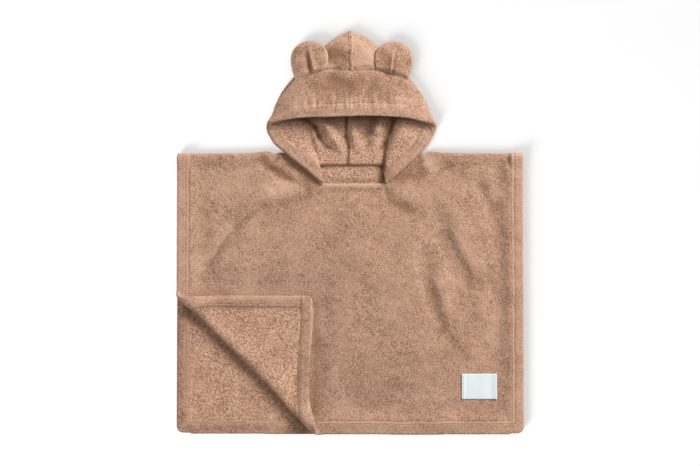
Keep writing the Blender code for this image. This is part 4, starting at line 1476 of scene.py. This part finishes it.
def outline_out(table, place):
    """Outward direction of the hood's outline at one place, straight up at its peak."""
    last = len(table) - 1
    peak = np.array((0.0, 1.0))
    step = 0.2
    if place >= last - 1e-6:
        return peak
    run = curve_row(table, min(place + step, last))[6:8]
    run = run - curve_row(table, max(place - step, 0.0))[6:8]
    run = run / np.linalg.norm(run)
    out = np.array((run[1], -run[0])) * side_of(table)
    blend = smooth(last - PEAK_BLEND, last, place)
    out = out * (1.0 - blend) + peak * blend
    return out / np.linalg.norm(out)


def side_path(table, place):
    """One section of a hood side: along the floor, round the fold and over to the seam."""
    row = hood_row(table, place)
    last = len(table) - 1.0
    side = side_of(table)
    tuck = SEAM_TUCK if side < 0.0 else 0.0
    at_peak = smooth(last - PEAK_BLEND, last, place)
    peak_gap = (PEAK_GAP - SEAM_GAP - tuck) * at_peak
    seam = row["seam"] + np.array((side * peak_gap, 0.0, 0.0))
    centre = row["centre"] + np.array((side * (SEAM_GAP + peak_gap - tuck * (1.0 - at_peak)), 0.0))
    inward = (seam[:2] - centre) / np.linalg.norm(seam[:2] - centre)
    if place < FOLD_PLACE:
        return floor_path(centre, seam, inward, place)
    radius = HOOD_FOLD_RADIUS
    turn = math.pi * float(np.interp(place, TURN_PLACES, TURN_SHARES))
    meet = smooth(FOLD_PLACE, FOLD_PLACE + FOLD_BLEND, place)
    out = inward * (1.0 - meet) + outline_out(table, place) * meet
    out = out / np.linalg.norm(out)
    heart = row["fold"] - out * (radius + CLOTH / 2.0)
    heart[0] += side * peak_gap
    points, weights = floor_points(centre, heart)
    end = round_fold(heart, out, radius, turn)
    short = (seam - end) * (1.0 - smooth(*ARC_PULL, np.linalg.norm(seam - end)))
    for step in range(1, ARC_POINTS + 1):
        spot = round_fold(heart, out, radius, turn * step / ARC_POINTS)
        points.append(spot + short * (step / ARC_POINTS) ** 2)
        weights.append(ARC_WEIGHT)
    top = points[-1]
    reach = np.linalg.norm(seam - top)
    if reach > 0.01:
        for t in np.linspace(0.0, 1.0, TOP_POINTS + 1)[1:]:
            spot = top + (seam - top) * t
            spot[2] += CROWN_DOME * math.sin(math.pi * t) * min(reach / DOME_REACH, 1.0)
            points.append(spot)
            weights.append(1.0)
    return np.array(points), np.array(weights)


def round_fold(heart, out, radius, angle):
    """The point that lies this far round the hood's fold from the floor."""
    height = CLOTH / 2.0 + radius * (1.0 - math.cos(angle))
    return np.array((*(heart + out * radius * math.sin(angle)), height))


def floor_points(start, end):
    """A straight run of points on the floor, and the weights of the steps between them."""
    shares = np.linspace(0.0, 1.0, FLOOR_POINTS + 1)
    return [(*(start + (end - start) * t), CLOTH / 2.0) for t in shares], [1.0] * FLOOR_POINTS


def floor_path(centre, seam, inward, place):
    """A section that stays on the floor and only lifts where it meets its seam."""
    low = CLOTH / 2.0
    curled = smooth(FOLD_PLACE - 2.0, FOLD_PLACE - 1.0, place)
    length = np.linalg.norm(seam[:2] - centre)
    rise = length / 2.0 + (HOOD_FOLD_RADIUS - length / 2.0) * curled
    points, weights = floor_points(centre, seam[:2] - inward * rise)
    for step in range(1, ARC_POINTS + 1):
        t = step / ARC_POINTS
        spot = seam[:2] - inward * rise * (1.0 - t)
        points.append((*spot, low + (seam[2] - low) * t * t))
        weights.append(1.0 + (ARC_WEIGHT - 1.0) * smooth(FOLD_PLACE - 1.0, FOLD_PLACE, place))
    return np.array(points), np.array(weights)


def along_path(points, weights, shares):
    """Points at shares of a path's weighted length."""
    run = run_along(points, weights)
    return read_along(shares * run[-1], run, points)


def soften(points, times):
    """Even out the small corners of a grid of points, leaving its edges in place."""
    for _ in range(times):
        inner = points[1:-1, 1:-1]
        around = points[:-2, 1:-1] + points[2:, 1:-1] + points[1:-1, :-2] + points[1:-1, 2:]
        points[1:-1, 1:-1] = inner * 0.5 + around * 0.125
    return points


def seam_share(distance):
    """Share of the thickness left beside a seam, where the stitching draws it in."""
    return SEAM_EDGE + (1.0 - SEAM_EDGE) * np.sqrt(smooth(0.0, SEAM_REACH, distance))


def lay_hood_side(middle, places, upper, edge):
    """Lay a hood side's folds into its middle: its upper layer's, and those seen inside."""
    x, y = middle[..., 0], middle[..., 1]
    inland = smooth(*SIDE_FOLD_EDGE, edge)
    lift = crease_height(CROWN_CREASES, x, y) * upper * inland
    lift += CROWN_UNEVEN * unevenness(x, y, wave=40.0, seed=21) * upper * inland
    inside = smooth(0.0, INSIDE_FOLD_EDGE, edge)
    inner_lift = crease_height(INSIDE_CREASES, x, y) * (1.0 - upper) * inside
    middle[..., 2] += lift + np.maximum(inner_lift, -INSIDE_SINK * CLOTH)
    middle[..., 1] -= NECK_SEAM_DROP * (1.0 - smooth(0.0, 1.0, places))[:, None]


def make_hood_side(name, table):
    """One side of the hood, from the centre seam round the fold to the band."""
    last = len(table) - 1.0
    crown = last - np.array(CROWN_ROWS)
    places = np.concatenate([spaced(0.0, last - PEAK_ROWS, HOOD_STEP), crown])
    t = np.linspace(0.0, 1.0, HOOD_COLUMNS)
    shares = t - COLUMNS_TO_ENDS * np.sin(2.0 * math.pi * t)
    middle = np.stack([along_path(*side_path(table, place), shares) for place in places])
    middle = soften(middle, 3)
    run = np.stack([run_along(row) for row in middle])
    from_neck = places[:, None] * ROW_LENGTH
    edge = np.minimum(np.minimum(run, run[:, -1:] - run), from_neck)
    upper = smooth(*UPPER_HEIGHTS, middle[..., 2]) * smooth(*UPPER_ROWS, places)[:, None]
    lay_hood_side(middle, places, upper, edge)
    x, y = middle[..., 0], middle[..., 1]
    half = CLOTH / 2.0 * seam_share(edge)
    beside = np.exp(-((edge - SIDE_PUCKERS_AT) / SIDE_PUCKERS_REACH) ** 2)
    puckers = SIDE_PUCKERS * unevenness(run, from_neck, wave=9.0, seed=22) * beside
    from_crown = (last - places)[:, None] * CROWN_ROW_WIDTH
    from_centre = np.where(upper > 0.5, from_crown, run)
    if side_of(table) < 0.0:
        middle[..., 2] -= SEAM_TUCK_DOWN * np.exp(-((from_centre / SEAM_TUCK) ** 2))
    ridge = np.exp(-(((from_centre - SEAM_RIDGE_AT) / (0.6 * SEAM_RIDGE_AT)) ** 2))
    ruck = 1.0 + SEAM_RUCK * unevenness(run + from_crown, 0.5 * from_crown, wave=9.0, seed=24)
    sunk = SEAM_SUNK * np.exp(-((from_crown / SEAM_SUNK_REACH) ** 2)) * upper
    outer = half + puckers + SEAM_RIDGE * ridge * ruck - sunk
    inner = half + sunk
    # painted shade and highlights of the crown's folds, with its stroked nap
    nap_and_shade = crease_height(HOOD_NAP_AND_SHADE, x, y) * upper
    nap_and_shade = nap_and_shade + PATCHY_NAP * unevenness(x, y, wave=30.0, seed=23)
    # painted light and shade of the centre seam's puckers
    beside_seam = np.exp(-((from_centre / SEAM_NAP_REACH) ** 2))
    nap_and_shade = nap_and_shade + SEAM_LIGHT_AND_SHADE * unevenness(x * 0.5, y, wave=9.0, seed=24) * beside_seam * upper
    # painted shadow and highlights inside the hood
    lining_light_and_shade = crease_height(INSIDE_LIGHT_AND_SHADE, x, y)
    flip = side_of(table) > 0.0
    return make_wall(name, middle, (inner, outer), np.ones_like(half), nap_and_shade, lining_light_and_shade, flip=flip)


def band_section(table, place):
    """Ends of the band at one place: its seam, tucked in under the side, and its hem."""
    row = hood_row(table, place)
    seam = row["seam"].copy()
    toward = row["hem"] - seam
    seam -= toward / np.linalg.norm(toward) * SEAM_TUCK
    seam[2] -= SEAM_TUCK_DOWN
    return seam, row["hem"]


def band_bulge(place, side, from_seam, width):
    """How far the band's lower part stands over its seam, rising fast and easing out."""
    start, full, until, end = BAND_BULGE_ROWS
    amount = BAND_BULGE[side] * smooth(start, full, place) * (1.0 - smooth(until, end, place))
    rise = 1.0 - np.exp(-((from_seam / BAND_BULGE_REACH) ** 2))
    return amount * rise * (1.0 - smooth(BAND_BULGE_EASE * width, width, from_seam))


def band_row(table, place):
    """A section of the band from seam to hem, its points' distance to the hem, its width."""
    seam, hem = band_section(table, place)
    width = np.linalg.norm(hem - seam)
    from_seam = np.array(BAND_FROM_SEAM)
    from_seam = from_seam[from_seam < BAND_SEAM_SHARE * width]
    from_hem = np.array(BAND_FROM_HEM)
    from_hem = from_hem * min(1.0, BAND_HEM_SHARE * width / from_hem[-1])
    known = np.linspace(0.0, 1.0, len(from_seam))
    first = np.interp(np.linspace(0.0, 1.0, len(BAND_FROM_SEAM)), known, from_seam)
    second = width - from_hem[::-1]
    between = np.linspace(first[-1], second[0], BAND_BETWEEN + 2)[1:-1]
    t = np.concatenate([first, between, second]) / width
    spot = seam[None, :] + (hem - seam)[None, :] * t[:, None]
    spot[:, 2] += BAND_DOME * np.sin(math.pi * t) * smooth(*BAND_DOME_ROWS, place)
    spot[:, 2] += band_bulge(place, side_of(table), t * width, width)
    return spot, (1.0 - t) * width, width


def lay_brow(middle, from_seam, from_hem, brow):
    """Lay the folds of the crown into the part of the band that crosses the brow."""
    x, y = middle[..., 0], middle[..., 1]
    inland = smooth(*BAND_SEAM_FOLD_EDGE, from_seam) * smooth(*BAND_HEM_FOLD_EDGE, from_hem)
    lift = crease_height(CROWN_CREASES, x, y)
    lift = lift + BROW_UNEVEN * unevenness(x, y, wave=42.0, seed=31)
    middle[..., 2] += lift * brow * inland
    near_hem = smooth(BRIM_UNEVEN_REACH, 0.0, from_hem)
    middle[..., 2] += BRIM_UNEVEN * unevenness(x, y, wave=26.0, seed=32) * brow * near_hem


def band_hem(from_hem, places):
    """1 on the band's turned hem, pressed flatter where the band turns over, 0 beyond it."""
    step = HEM_STEP / 2.0
    share = 1.0 - smooth(HOOD_HEM_WIDTH - step, HOOD_HEM_WIDTH + step, from_hem)
    return share * (1.0 - PRESSED_HEM * np.exp(-((places - FOLD_PLACE) ** 2)))[:, None]


def band_lip(from_hem, places, sides):
    """Extra thickness of the lip where the hem turns over at the corners."""
    lip = np.array([LIP[side] for side in sides])
    lip = lip * np.exp(-(((places - FOLD_PLACE) / LIP_ROWS) ** 2))
    return lip[:, None] * np.exp(-((from_hem / LIP_REACH) ** 2))


def band_skins(along, from_hem, puckers, brow, hem_share):
    """Heights of the band's outer and inner skins, before its lip and its edges."""
    from_line = from_hem - HOOD_HEM_WIDTH
    groove = STITCH_GROOVE * np.exp(-((from_line / STITCH_WIDTH) ** 2))
    beside = np.exp(-((from_line / BAND_RUCK_REACH) ** 2))
    ruck = BAND_RUCK * unevenness(along[:, None], from_hem * 0.1, wave=11.0, seed=35)
    ruck = BAND_PUCKERS * puckers + ruck
    outer = ruck * beside - groove * (1.0 + BAND_GROOVE_PUCKERS * puckers)
    outer = CLOTH / 2.0 + outer * brow
    puff = np.sin(math.pi * np.clip(from_hem / HOOD_HEM_WIDTH, 0.0, 1.0)) ** HEM_PUFF_POWER
    return outer + HOOD_HEM_PUFF * brow * puff, CLOTH / 2.0 + HOOD_HEM_STEP * hem_share


def make_band():
    """The strip round the face, from the left neck over the brow to the right neck.

    Returned with the runs of its stitched line, on its outer and its inner skin.
    """
    left = spaced(0.0, len(HOOD_LEFT) - 1.0, BAND_STEP)
    sections = [(HOOD_LEFT, place) for place in left]
    sections += [(HOOD_RIGHT, place) for place in left[-2::-1]]
    places = np.array([place for _, place in sections])
    sides = [side_of(table) for table, _ in sections]
    rows = zip(*(band_row(*section) for section in sections))
    middle, from_hem, widths = (np.array(part) for part in rows)
    from_seam = widths[:, None] - from_hem
    brow = smooth(*BROW_ROWS, places)[:, None]
    x, y = middle[..., 0], middle[..., 1]
    lay_brow(middle, from_seam, from_hem, brow)
    along = run_along(middle[:, -1])
    puckers = unevenness(along[:, None], from_hem * 0.25, wave=12.0, seed=33)
    hem_share = band_hem(from_hem, places)
    lip = band_lip(from_hem, places, sides)
    skins = band_skins(along, from_hem, puckers, brow, hem_share)
    outer, inner = (skin + lip for skin in skins)
    share = rounded(from_hem, EDGE_ROUND + lip)
    middle_line = (outer - inner) / 2.0
    half = (outer + inner) / 2.0 * share * seam_share(from_seam)
    offsets = (half - middle_line * share, half + middle_line * share)
    # painted shade and highlights of the brow's folds, with its stroked nap
    nap_and_shade = crease_height(HOOD_NAP_AND_SHADE, x, y) * brow
    nap_and_shade = nap_and_shade + PATCHY_NAP * unevenness(x, y, wave=30.0, seed=34)
    # a painted highlight along the brim's rounded edge, with its fluffed up pile
    brim_highlight = BRIM_HIGHLIGHT * np.exp(-((from_hem / BRIM_NAP_REACH) ** 2)) * brow
    nap_and_shade = nap_and_shade + brim_highlight * (1.0 + BRIM_NAP_PUCKERS * puckers)
    # painted shadow and highlights on the band's curly inside
    lining_light_and_shade = crease_height(INSIDE_LIGHT_AND_SHADE, x, y)
    made = make_wall("hood_band_cloth", middle, offsets, 1.0 - hem_share, nap_and_shade, lining_light_and_shade)
    line = -1 - BAND_FROM_HEM.index(HOOD_STITCH_LINE)
    out = grid_normals(middle)[:, line]
    upper = middle[:, line] + out * offsets[1][:, line, None]
    lower = middle[:, line] - out * offsets[0][:, line, None]
    return made, [(upper, out), (lower, -out)]


# Thread and loose fibres -----------------------------------------------------------------


def body_skin(x, s, side):
    """Points on the body's outer (+1) or inner (-1) skin, and the way out of it."""
    reach = 0.5
    middle = body_middle(x, s)
    across = body_middle(x + reach, s) - body_middle(x - reach, s)
    along = body_middle(x, s + reach) - body_middle(x, s - reach)
    out = np.cross(along, across)
    out = out / np.linalg.norm(out, axis=-1, keepdims=True)
    inner, outer = body_offsets(x, s)
    offset = outer if side > 0.0 else -inner
    return middle + out * offset[..., None], out * side


def hem_lines():
    """The lines of stitches round the body's hems, as places on the flat cloth."""
    for line in STITCH_LINES:
        reach = BODY_LENGTH - line
        along = spaced(-reach, reach, THREAD_STEP)
        for side in (-1.0, 1.0):
            across = side * (half_width(along) - line)
            yield across - side * stitch_wander(across, along), along
        across = spaced(line - half_width(reach), half_width(reach) - line, THREAD_STEP)
        for side in (-1.0, 1.0):
            end = np.full_like(across, side * reach)
            yield across, end - side * stitch_wander(across, end)


def stitch_path(path, out):
    """The ends of the stitches along a path, and the way out of the cloth at each."""
    pitch = bpy.context.scene.poncho_sizes.stitch / MM
    run = run_along(path)
    starts = np.arange(THREAD_START * pitch, run[-1] - pitch, pitch)
    ends = starts + THREAD_SHARE * pitch
    return read_along(starts, run, path), read_along(ends, run, path), read_along(starts, run, out)


def read_along(places, run, values):
    """Points or directions read from the ones known along a run."""
    return np.stack([np.interp(places, run, values[:, axis]) for axis in range(3)], axis=1)


def make_thread(name, runs):
    """Stitches of sewing thread, each a short rounded bar half sunk in the pile."""
    stitches = zip(*(stitch_path(*run) for run in runs))
    starts, ends, ups = (np.concatenate(part) for part in stitches)
    along = (ends - starts) / np.linalg.norm(ends - starts, axis=1, keepdims=True)
    side = np.cross(along, ups)
    side /= np.linalg.norm(side, axis=1, keepdims=True)
    up = np.cross(side, along)
    corners = 4
    bar = []
    for share, full in THREAD_RINGS:
        centre = starts + (ends - starts) * share
        for corner in range(corners):
            angle = math.pi / 2.0 * (corner + 0.5)
            reach = THREAD_RADIUS * full
            bar.append(centre + (side * math.cos(angle) + up * math.sin(angle)) * reach)
    points = np.stack(bar, axis=1).reshape(-1, 3)
    points[:, 2] = np.maximum(points[:, 2], LOOSE_LOW)
    order = list(range(len(bar)))
    faces = [order[:corners], order[: -corners - 1 : -1]]
    for low in order[:-corners]:
        high = low - low % corners + (low + 1) % corners
        faces.append([high, low, low + corners, high + corners])
    first = np.arange(len(starts))[:, None, None] * len(bar)
    faces = (np.array(faces)[None, :, :] + first).reshape(-1, 4)
    made = make_mesh(name, points * MM, faces, np.zeros(len(faces), dtype=int))
    return finish_piece(made, [found_finish("sewing thread", thread_finish)])


def make_fibres(name, piece, count, seed):
    """Loose fibres of the pile that stand out where a piece turns away."""
    data = piece.data
    total = len(data.polygons)
    normal, centre, area = np.empty(total * 3), np.empty(total * 3), np.empty(total)
    data.polygons.foreach_get("normal", normal)
    data.polygons.foreach_get("center", centre)
    data.polygons.foreach_get("area", area)
    normal, centre = normal.reshape(-1, 3), centre.reshape(-1, 3)
    weight = area * np.clip(1.0 - np.abs(normal[:, 2]) / FIBRE_STEEP, 0.0, 1.0)
    weight[centre[:, 2] < FIBRE_LOW * MM] = 0.0
    rng = np.random.default_rng(seed)
    picked = rng.choice(total, count, p=weight / weight.sum())
    scatter = rng.normal(0.0, FIBRE_SCATTER, (count, 3))
    root = centre[picked] + scatter * np.sqrt(area[picked])[:, None]
    out = normal[picked] + rng.normal(0.0, FIBRE_SPLAY, (count, 3))
    out[:, 2] = np.abs(out[:, 2])
    out /= np.linalg.norm(out, axis=1, keepdims=True)
    side = np.cross(out, rng.normal(0.0, 1.0, (count, 3)))
    side *= FIBRE_WIDTH * MM / np.linalg.norm(side, axis=1, keepdims=True)
    length = bpy.context.scene.poncho_sizes.pile * rng.uniform(*FIBRE_LENGTHS, (count, 1))
    points = np.stack([root - side, root + side, root + out * length], axis=1).reshape(-1, 3)
    points[:, 2] = np.maximum(points[:, 2], LOOSE_LOW * MM)
    faces = np.arange(3 * count).reshape(-1, 3)
    made = make_mesh(name, points, faces, np.zeros(count, dtype=int))
    store_light_and_shade(made, np.full(3 * count, FIBRE_NAP))
    return finish_piece(made, [found_finish("plush outside", plush_finish)])


# Ears and label --------------------------------------------------------------------------


def ear_half(v):
    """Half width of the ear at a share of its height, 1 at its widest."""
    low = EAR_FOOT + (1.0 - EAR_FOOT) * np.sin(math.pi / 2.0 * np.minimum(v / EAR_WIDEST, 1.0))
    t = np.clip((v - EAR_WIDEST) / (1.0 - EAR_WIDEST), 0.0, 1.0)
    high = np.maximum(np.sqrt(1.0 - t * t), EAR_TIP)
    return np.where(v < EAR_WIDEST, low, high)


def seam_under_ear(x):
    """Y and height of the band's seam at a point across the crown."""
    first = int(FOLD_PLACE) + 1
    rows = [row[0:3] for row in HOOD_LEFT[first:] + HOOD_RIGHT[-2 : first - 1 : -1]]
    places = [row[0] for row in rows]
    return [np.interp(x, places, [row[axis] for row in rows]) for axis in (1, 2)]


def make_ear(name, base_x, base_y, lean, height, pleat, slant, pleat_width, pleat_depth):
    """A round padded ear, pleated at the base and caught in the band's seam."""
    turn = math.radians(lean)
    across = np.sin(np.linspace(-math.pi / 2.0, math.pi / 2.0, EAR_COLUMNS + 1))
    along = 1.0 - np.cos(np.linspace(0.0, math.pi / 2.0, EAR_ROWS + 1))
    u, v = np.meshgrid(across, 1.0 - along[::-1])
    x = EAR_WIDTH / 2.0 * ear_half(v) * u
    y = EAR_HEIGHT * v
    sewn = smooth(0.0, EAR_SEWN, v)
    thick = EAR_PAD * np.sqrt(np.maximum(1.0 - u * u, 0.0)) * smooth(*EAR_THIN_TIP, v)
    thick = np.maximum(thick * (EAR_THIN_FOOT + (1.0 - EAR_THIN_FOOT) * np.sqrt(sewn)), EAR_EDGE)
    line = x - (pleat + slant * v) * EAR_WIDTH
    widths = (pleat_width * PLEAT_WIDER, pleat_width * PLEAT_NARROWER)
    from_pleat = line / np.where(line < 0.0, *widths)
    deep = 1.0 - smooth(*PLEAT_FADE, v)
    groove = pleat_depth * np.exp(-(from_pleat**2)) * deep * (0.4 + 0.6 * sewn)
    roll = PLEAT_ROLL * np.exp(-((from_pleat - PLEAT_ROLL_AT) / PLEAT_ROLL_WIDTH) ** 2)
    right = int(base_x > 0.0)
    dimples = EAR_DIMPLES * unevenness(x, y, wave=24.0, seed=41 + right)
    world_x = base_x + x * math.cos(turn) + y * math.sin(turn)
    base_line = base_y - x * math.sin(turn)
    world_y = base_line + y * math.cos(turn)
    seam_y, seam_z = seam_under_ear(world_x)
    world_y = world_y + (seam_y - EAR_BEHIND_SEAM - base_line) * (1.0 - v) ** 3
    rest = height + EAR_PAD - EAR_FALL_OUT * (np.abs(world_x) - abs(base_x))
    rest = rest - EAR_FALL_BACK * (world_y - base_y)
    rest = rest + (seam_z - EAR_UNDER_SEAM - rest) * (1.0 - sewn)
    full = np.minimum(thick / EAR_PAD, 1.0)
    upper = rest + thick + (roll * deep - groove + dimples) * full
    lower = np.minimum(rest - thick, upper - 2.0 * EAR_EDGE)
    middle = np.stack([world_x, world_y, (upper + lower) / 2.0], axis=-1)
    made = make_pad(name + "_pad", middle, (upper - lower) / 2.0)
    nap_and_shade = EAR_PATCHY_NAP * unevenness(x, y, wave=26.0, seed=43 + right) + EAR_PLAIN_NAP
    # painted highlights and shade along the pleat, and painted highlights on the foot and the rim
    for offset, reach, amount in EAR_PLEAT_LIGHT_AND_SHADE[name]:
        nap_and_shade = nap_and_shade + amount * deep * np.exp(-(((line - offset) / reach) ** 2))
    nap_and_shade = nap_and_shade + EAR_FOOT_HIGHLIGHT * np.exp(-((y / EAR_FOOT_REACH) ** 2))
    nap_and_shade = nap_and_shade + EAR_RIM_HIGHLIGHT * smooth(EAR_RIM, 1.0, np.maximum(np.abs(u), v))
    store_light_and_shade(made, np.concatenate([nap_and_shade.ravel(), nap_and_shade.ravel()]))
    return made


def make_pad(name, middle, half):
    """A closed pad from the middle heights of a grid and the half thickness above them."""
    shift = np.zeros_like(middle)
    shift[..., 2] = half
    points = np.concatenate([(middle + shift).reshape(-1, 3), (middle - shift).reshape(-1, 3)])
    faces = closed_faces(grid_cells(*half.shape).reshape(-1, 4), half.size)
    return make_mesh(name, points * MM, faces, np.zeros(len(faces), dtype=int))


def skin_below(made):
    """A way to ask for the top of a piece's skin at a point in millimetres."""
    tree = BVHTree.FromPolygons(
        [vertex.co / MM for vertex in made.data.vertices],
        [polygon.vertices[:] for polygon in made.data.polygons],
    )
    above, down = 100.0, Vector((0.0, 0.0, -1.0))

    def top(x, y):
        return tree.ray_cast(Vector((x, y, above)), down)[0].z

    return np.vectorize(top)


def label_columns():
    """Places across the label, closer together over its folded ends."""
    width = LABEL_SIZE[0]
    end = LABEL_TURN + LABEL_FOLD
    plain = spaced(end, width - end, LABEL_STEP)[1:-1]
    ends = [spaced(*reach, LABEL_END_STEP) for reach in ((0.0, end), (width - end, width))]
    return np.concatenate([ends[0], plain, ends[1]])


def make_label(body):
    """A woven label lying on the front's own skin, its two ends folded under.

    Returned with the runs of stitches across its two ends.
    """
    width, height = LABEL_SIZE
    columns = label_columns()
    start = (LABEL_CENTRE[0] - width / 2.0, LABEL_CENTRE[1] - height / 2.0)
    x, y = np.meshgrid(columns + start[0], spaced(0.0, height, LABEL_STEP) + start[1])
    highest = skin_below(body)(x, y)
    under = soften(highest[..., None].copy(), 8)[..., 0]
    under = np.maximum(under, highest - LABEL_SINK)
    from_end = np.minimum(x - start[0], start[0] + width - x)
    at_end = 1.0 - smooth(LABEL_TURN, LABEL_TURN + LABEL_FOLD, from_end)
    from_roll = x - start[0] - width + LABEL_ROLL_AT
    roll = LABEL_ROLL * np.exp(-((from_roll / LABEL_ROLL_REACH) ** 2))
    from_line = from_end - LABEL_SEWN
    stitched = LABEL_STITCHED * np.exp(-((from_line / LABEL_STITCHED_REACH) ** 2))
    lower = under + LABEL_REST
    upper = lower + LABEL_THICK + LABEL_TURN_EXTRA * at_end + roll - stitched
    middle = np.stack([x, y, (upper + lower) / 2.0], axis=-1)
    runs = []
    for place in (LABEL_SEWN, width - LABEL_SEWN):
        path = np.stack([x, y, upper], axis=-1)[:, np.argmin(np.abs(columns - place))]
        runs.append((path, np.tile((0.0, 0.0, 1.0), (len(path), 1))))
    return make_pad("label_tape", middle, (upper - lower) / 2.0), runs


# Operators -------------------------------------------------------------------------------


class PONCHO_OT_body(bpy.types.Operator):
    """Lay out the body: one cloth folded at the shoulders, one corner turned back"""

    bl_idname = "poncho.body"
    bl_label = "Body"

    def execute(self, context):
        made = finish_piece(make_body(), cloth_finishes(), "body")
        runs = [body_skin(*line, side) for side in (1.0, -1.0) for line in hem_lines()]
        sewn = make_thread("body_thread", runs)
        loose = make_fibres("body_fibres", made, FIBRES["body"], seed=61)
        width, length, _ = CUTS["body"]
        return {"FINISHED"}


class PONCHO_OT_hood(bpy.types.Operator):
    """Sew up the hood: its two sides and the band round the face"""

    bl_idname = "poncho.hood"
    bl_label = "Hood"

    def execute(self, context):
        sides = [("hood_left", HOOD_LEFT), ("hood_right", HOOD_RIGHT)]
        for node, table in sides:
            made = make_hood_side(node + "_cloth", table)
            finish_piece(made, cloth_finishes(), node)
            loose = make_fibres(node + "_fibres", made, FIBRES[node], seed=62)
            width, length, area = CUTS[node]
        band, runs = make_band()
        finish_piece(band, cloth_finishes(), "hood_band")
        sewn = make_thread("hood_band_thread", runs)
        loose = make_fibres("hood_band_fibres", band, FIBRES["hood_band"], seed=63)
        width, length, area = CUTS["hood_band"]
        return {"FINISHED"}


class PONCHO_OT_ears(bpy.types.Operator):
    """Pad and pleat the two ears"""

    bl_idname = "poncho.ears"
    bl_label = "Ears"

    def execute(self, context):
        for row in EARS:
            node = row[0]
            made = finish_piece(make_ear(*row), cloth_finishes()[:1], node)
            make_fibres(node + "_fibres", made, FIBRES[node], seed=64)
        return {"FINISHED"}


class PONCHO_OT_label(bpy.types.Operator):
    """Sew the bare woven label to the front"""

    bl_idname = "poncho.label"
    bl_label = "Label"

    def execute(self, context):
        body = bpy.data.objects["body_cloth"]
        finishes = [found_finish("woven label", label_finish)]
        made, runs = make_label(body)
        finish_piece(made, finishes, "label")
        sewn = make_thread("label_thread", runs)
        width, length, _ = CUTS["label"]
        return {"FINISHED"}


class PONCHO_OT_stage(bpy.types.Operator):
    """Set the floor, the soft light and the camera"""

    bl_idname = "poncho.stage"
    bl_label = "Stage"

    def execute(self, context):
        make_floor()
        make_lights()
        make_camera()
        return {"FINISHED"}


def make_floor():
    """A wide sheet of white paper, a hair below the cloth."""
    colour = tuple(bpy.context.scene.poncho_colours.floor)
    finish = Finish("floor paper")
    place = finish.node("TexCoord", {}, {})[3]
    mottle = finish.noise(place, 3.0, 2.0)
    tint = finish.mix(mottle, shade(colour, 0.995), colour)
    paper = finish.close(
        {
            "Base Color": tint,
            "Roughness": 0.9,
            "Specular IOR Level": 0.1,
            "Emission Color": (1.0, 1.0, 1.0),
            "Emission Strength": FLOOR_GLOW,
        }
    )
    corners = np.array([(-1.0, -1.0), (1.0, -1.0), (1.0, 1.0), (-1.0, 1.0)]) * FLOOR_REACH
    points = np.column_stack([corners, np.full(4, FLOOR_HEIGHT)])
    floor = make_mesh("floor", points, np.array([[0, 1, 2, 3]]), np.zeros(1, dtype=int))
    floor.data.materials.append(paper)


def make_lights():
    """A wide soft light from the upper right, and an even sky of white card."""
    world = bpy.data.worlds.new("studio")
    world.use_nodes = True
    backdrop = world.node_tree.nodes["Background"]
    backdrop.inputs["Color"].default_value = (1.0, 1.0, 1.0, 1.0)
    backdrop.inputs["Strength"].default_value = SKY_STRENGTH
    bpy.context.scene.world = world
    for name, x, y, z, width, power, floor_only in LAMPS:
        data = bpy.data.lights.new(name, "AREA")
        data.shape = "SQUARE"
        data.size = width
        data.energy = power
        lamp = bpy.data.objects.new(name, data)
        lamp.location = (x, y, z)
        lamp.rotation_euler = Vector((x, y, z)).to_track_quat("Z", "Y").to_euler()
        bpy.context.collection.objects.link(lamp)
        lit = bpy.data.collections.new(name)
        lit.objects.link(bpy.data.objects["floor"])
        linking = lit.collection_objects[0].light_linking
        linking.link_state = "INCLUDE" if floor_only else "EXCLUDE"
        lamp.light_linking.receiver_collection = lit


def make_camera():
    """A camera that looks straight down from above the origin."""
    data = bpy.data.cameras.new("camera")
    data.sensor_width = SENSOR
    data.lens = SENSOR * CAMERA_HEIGHT / (PICTURE_PIXELS * PIXEL_SIZE)
    camera = bpy.data.objects.new("camera", data)
    camera.location = (0.0, 0.0, CAMERA_HEIGHT)
    bpy.context.collection.objects.link(camera)
    bpy.context.scene.camera = camera
    bpy.context.scene.view_settings.view_transform = "Standard"


class PONCHO_PT_panel(bpy.types.Panel):
    """Sizes, colours and pieces of the poncho"""

    bl_idname = "PONCHO_PT_panel"
    bl_label = "Hooded bath poncho"
    bl_space_type = "VIEW_3D"
    bl_region_type = "UI"
    bl_category = "Poncho"

    def draw(self, context):
        for group in (context.scene.poncho_sizes, context.scene.poncho_colours):
            box = self.layout.box()
            for name in group.__annotations__:
                box.prop(group, name)
        for operator in OPERATORS:
            self.layout.operator(operator.bl_idname)


OPERATORS = (
    PONCHO_OT_body,
    PONCHO_OT_hood,
    PONCHO_OT_ears,
    PONCHO_OT_label,
    PONCHO_OT_stage,
)
CLASSES = (PonchoSizes, PonchoColours, *OPERATORS, PONCHO_PT_panel)


def register():
    for made in CLASSES:
        bpy.utils.register_class(made)
    bpy.types.Scene.poncho_sizes = bpy.props.PointerProperty(type=PonchoSizes)
    bpy.types.Scene.poncho_colours = bpy.props.PointerProperty(type=PonchoColours)


def unregister():
    del bpy.types.Scene.poncho_colours
    del bpy.types.Scene.poncho_sizes
    for made in reversed(CLASSES):
        bpy.utils.unregister_class(made)


def main():
    register()
    bpy.ops.poncho.body()
    bpy.ops.poncho.hood()
    bpy.ops.poncho.ears()
    bpy.ops.poncho.label()
    bpy.ops.poncho.stage()


if __name__ == "__main__":
    main()
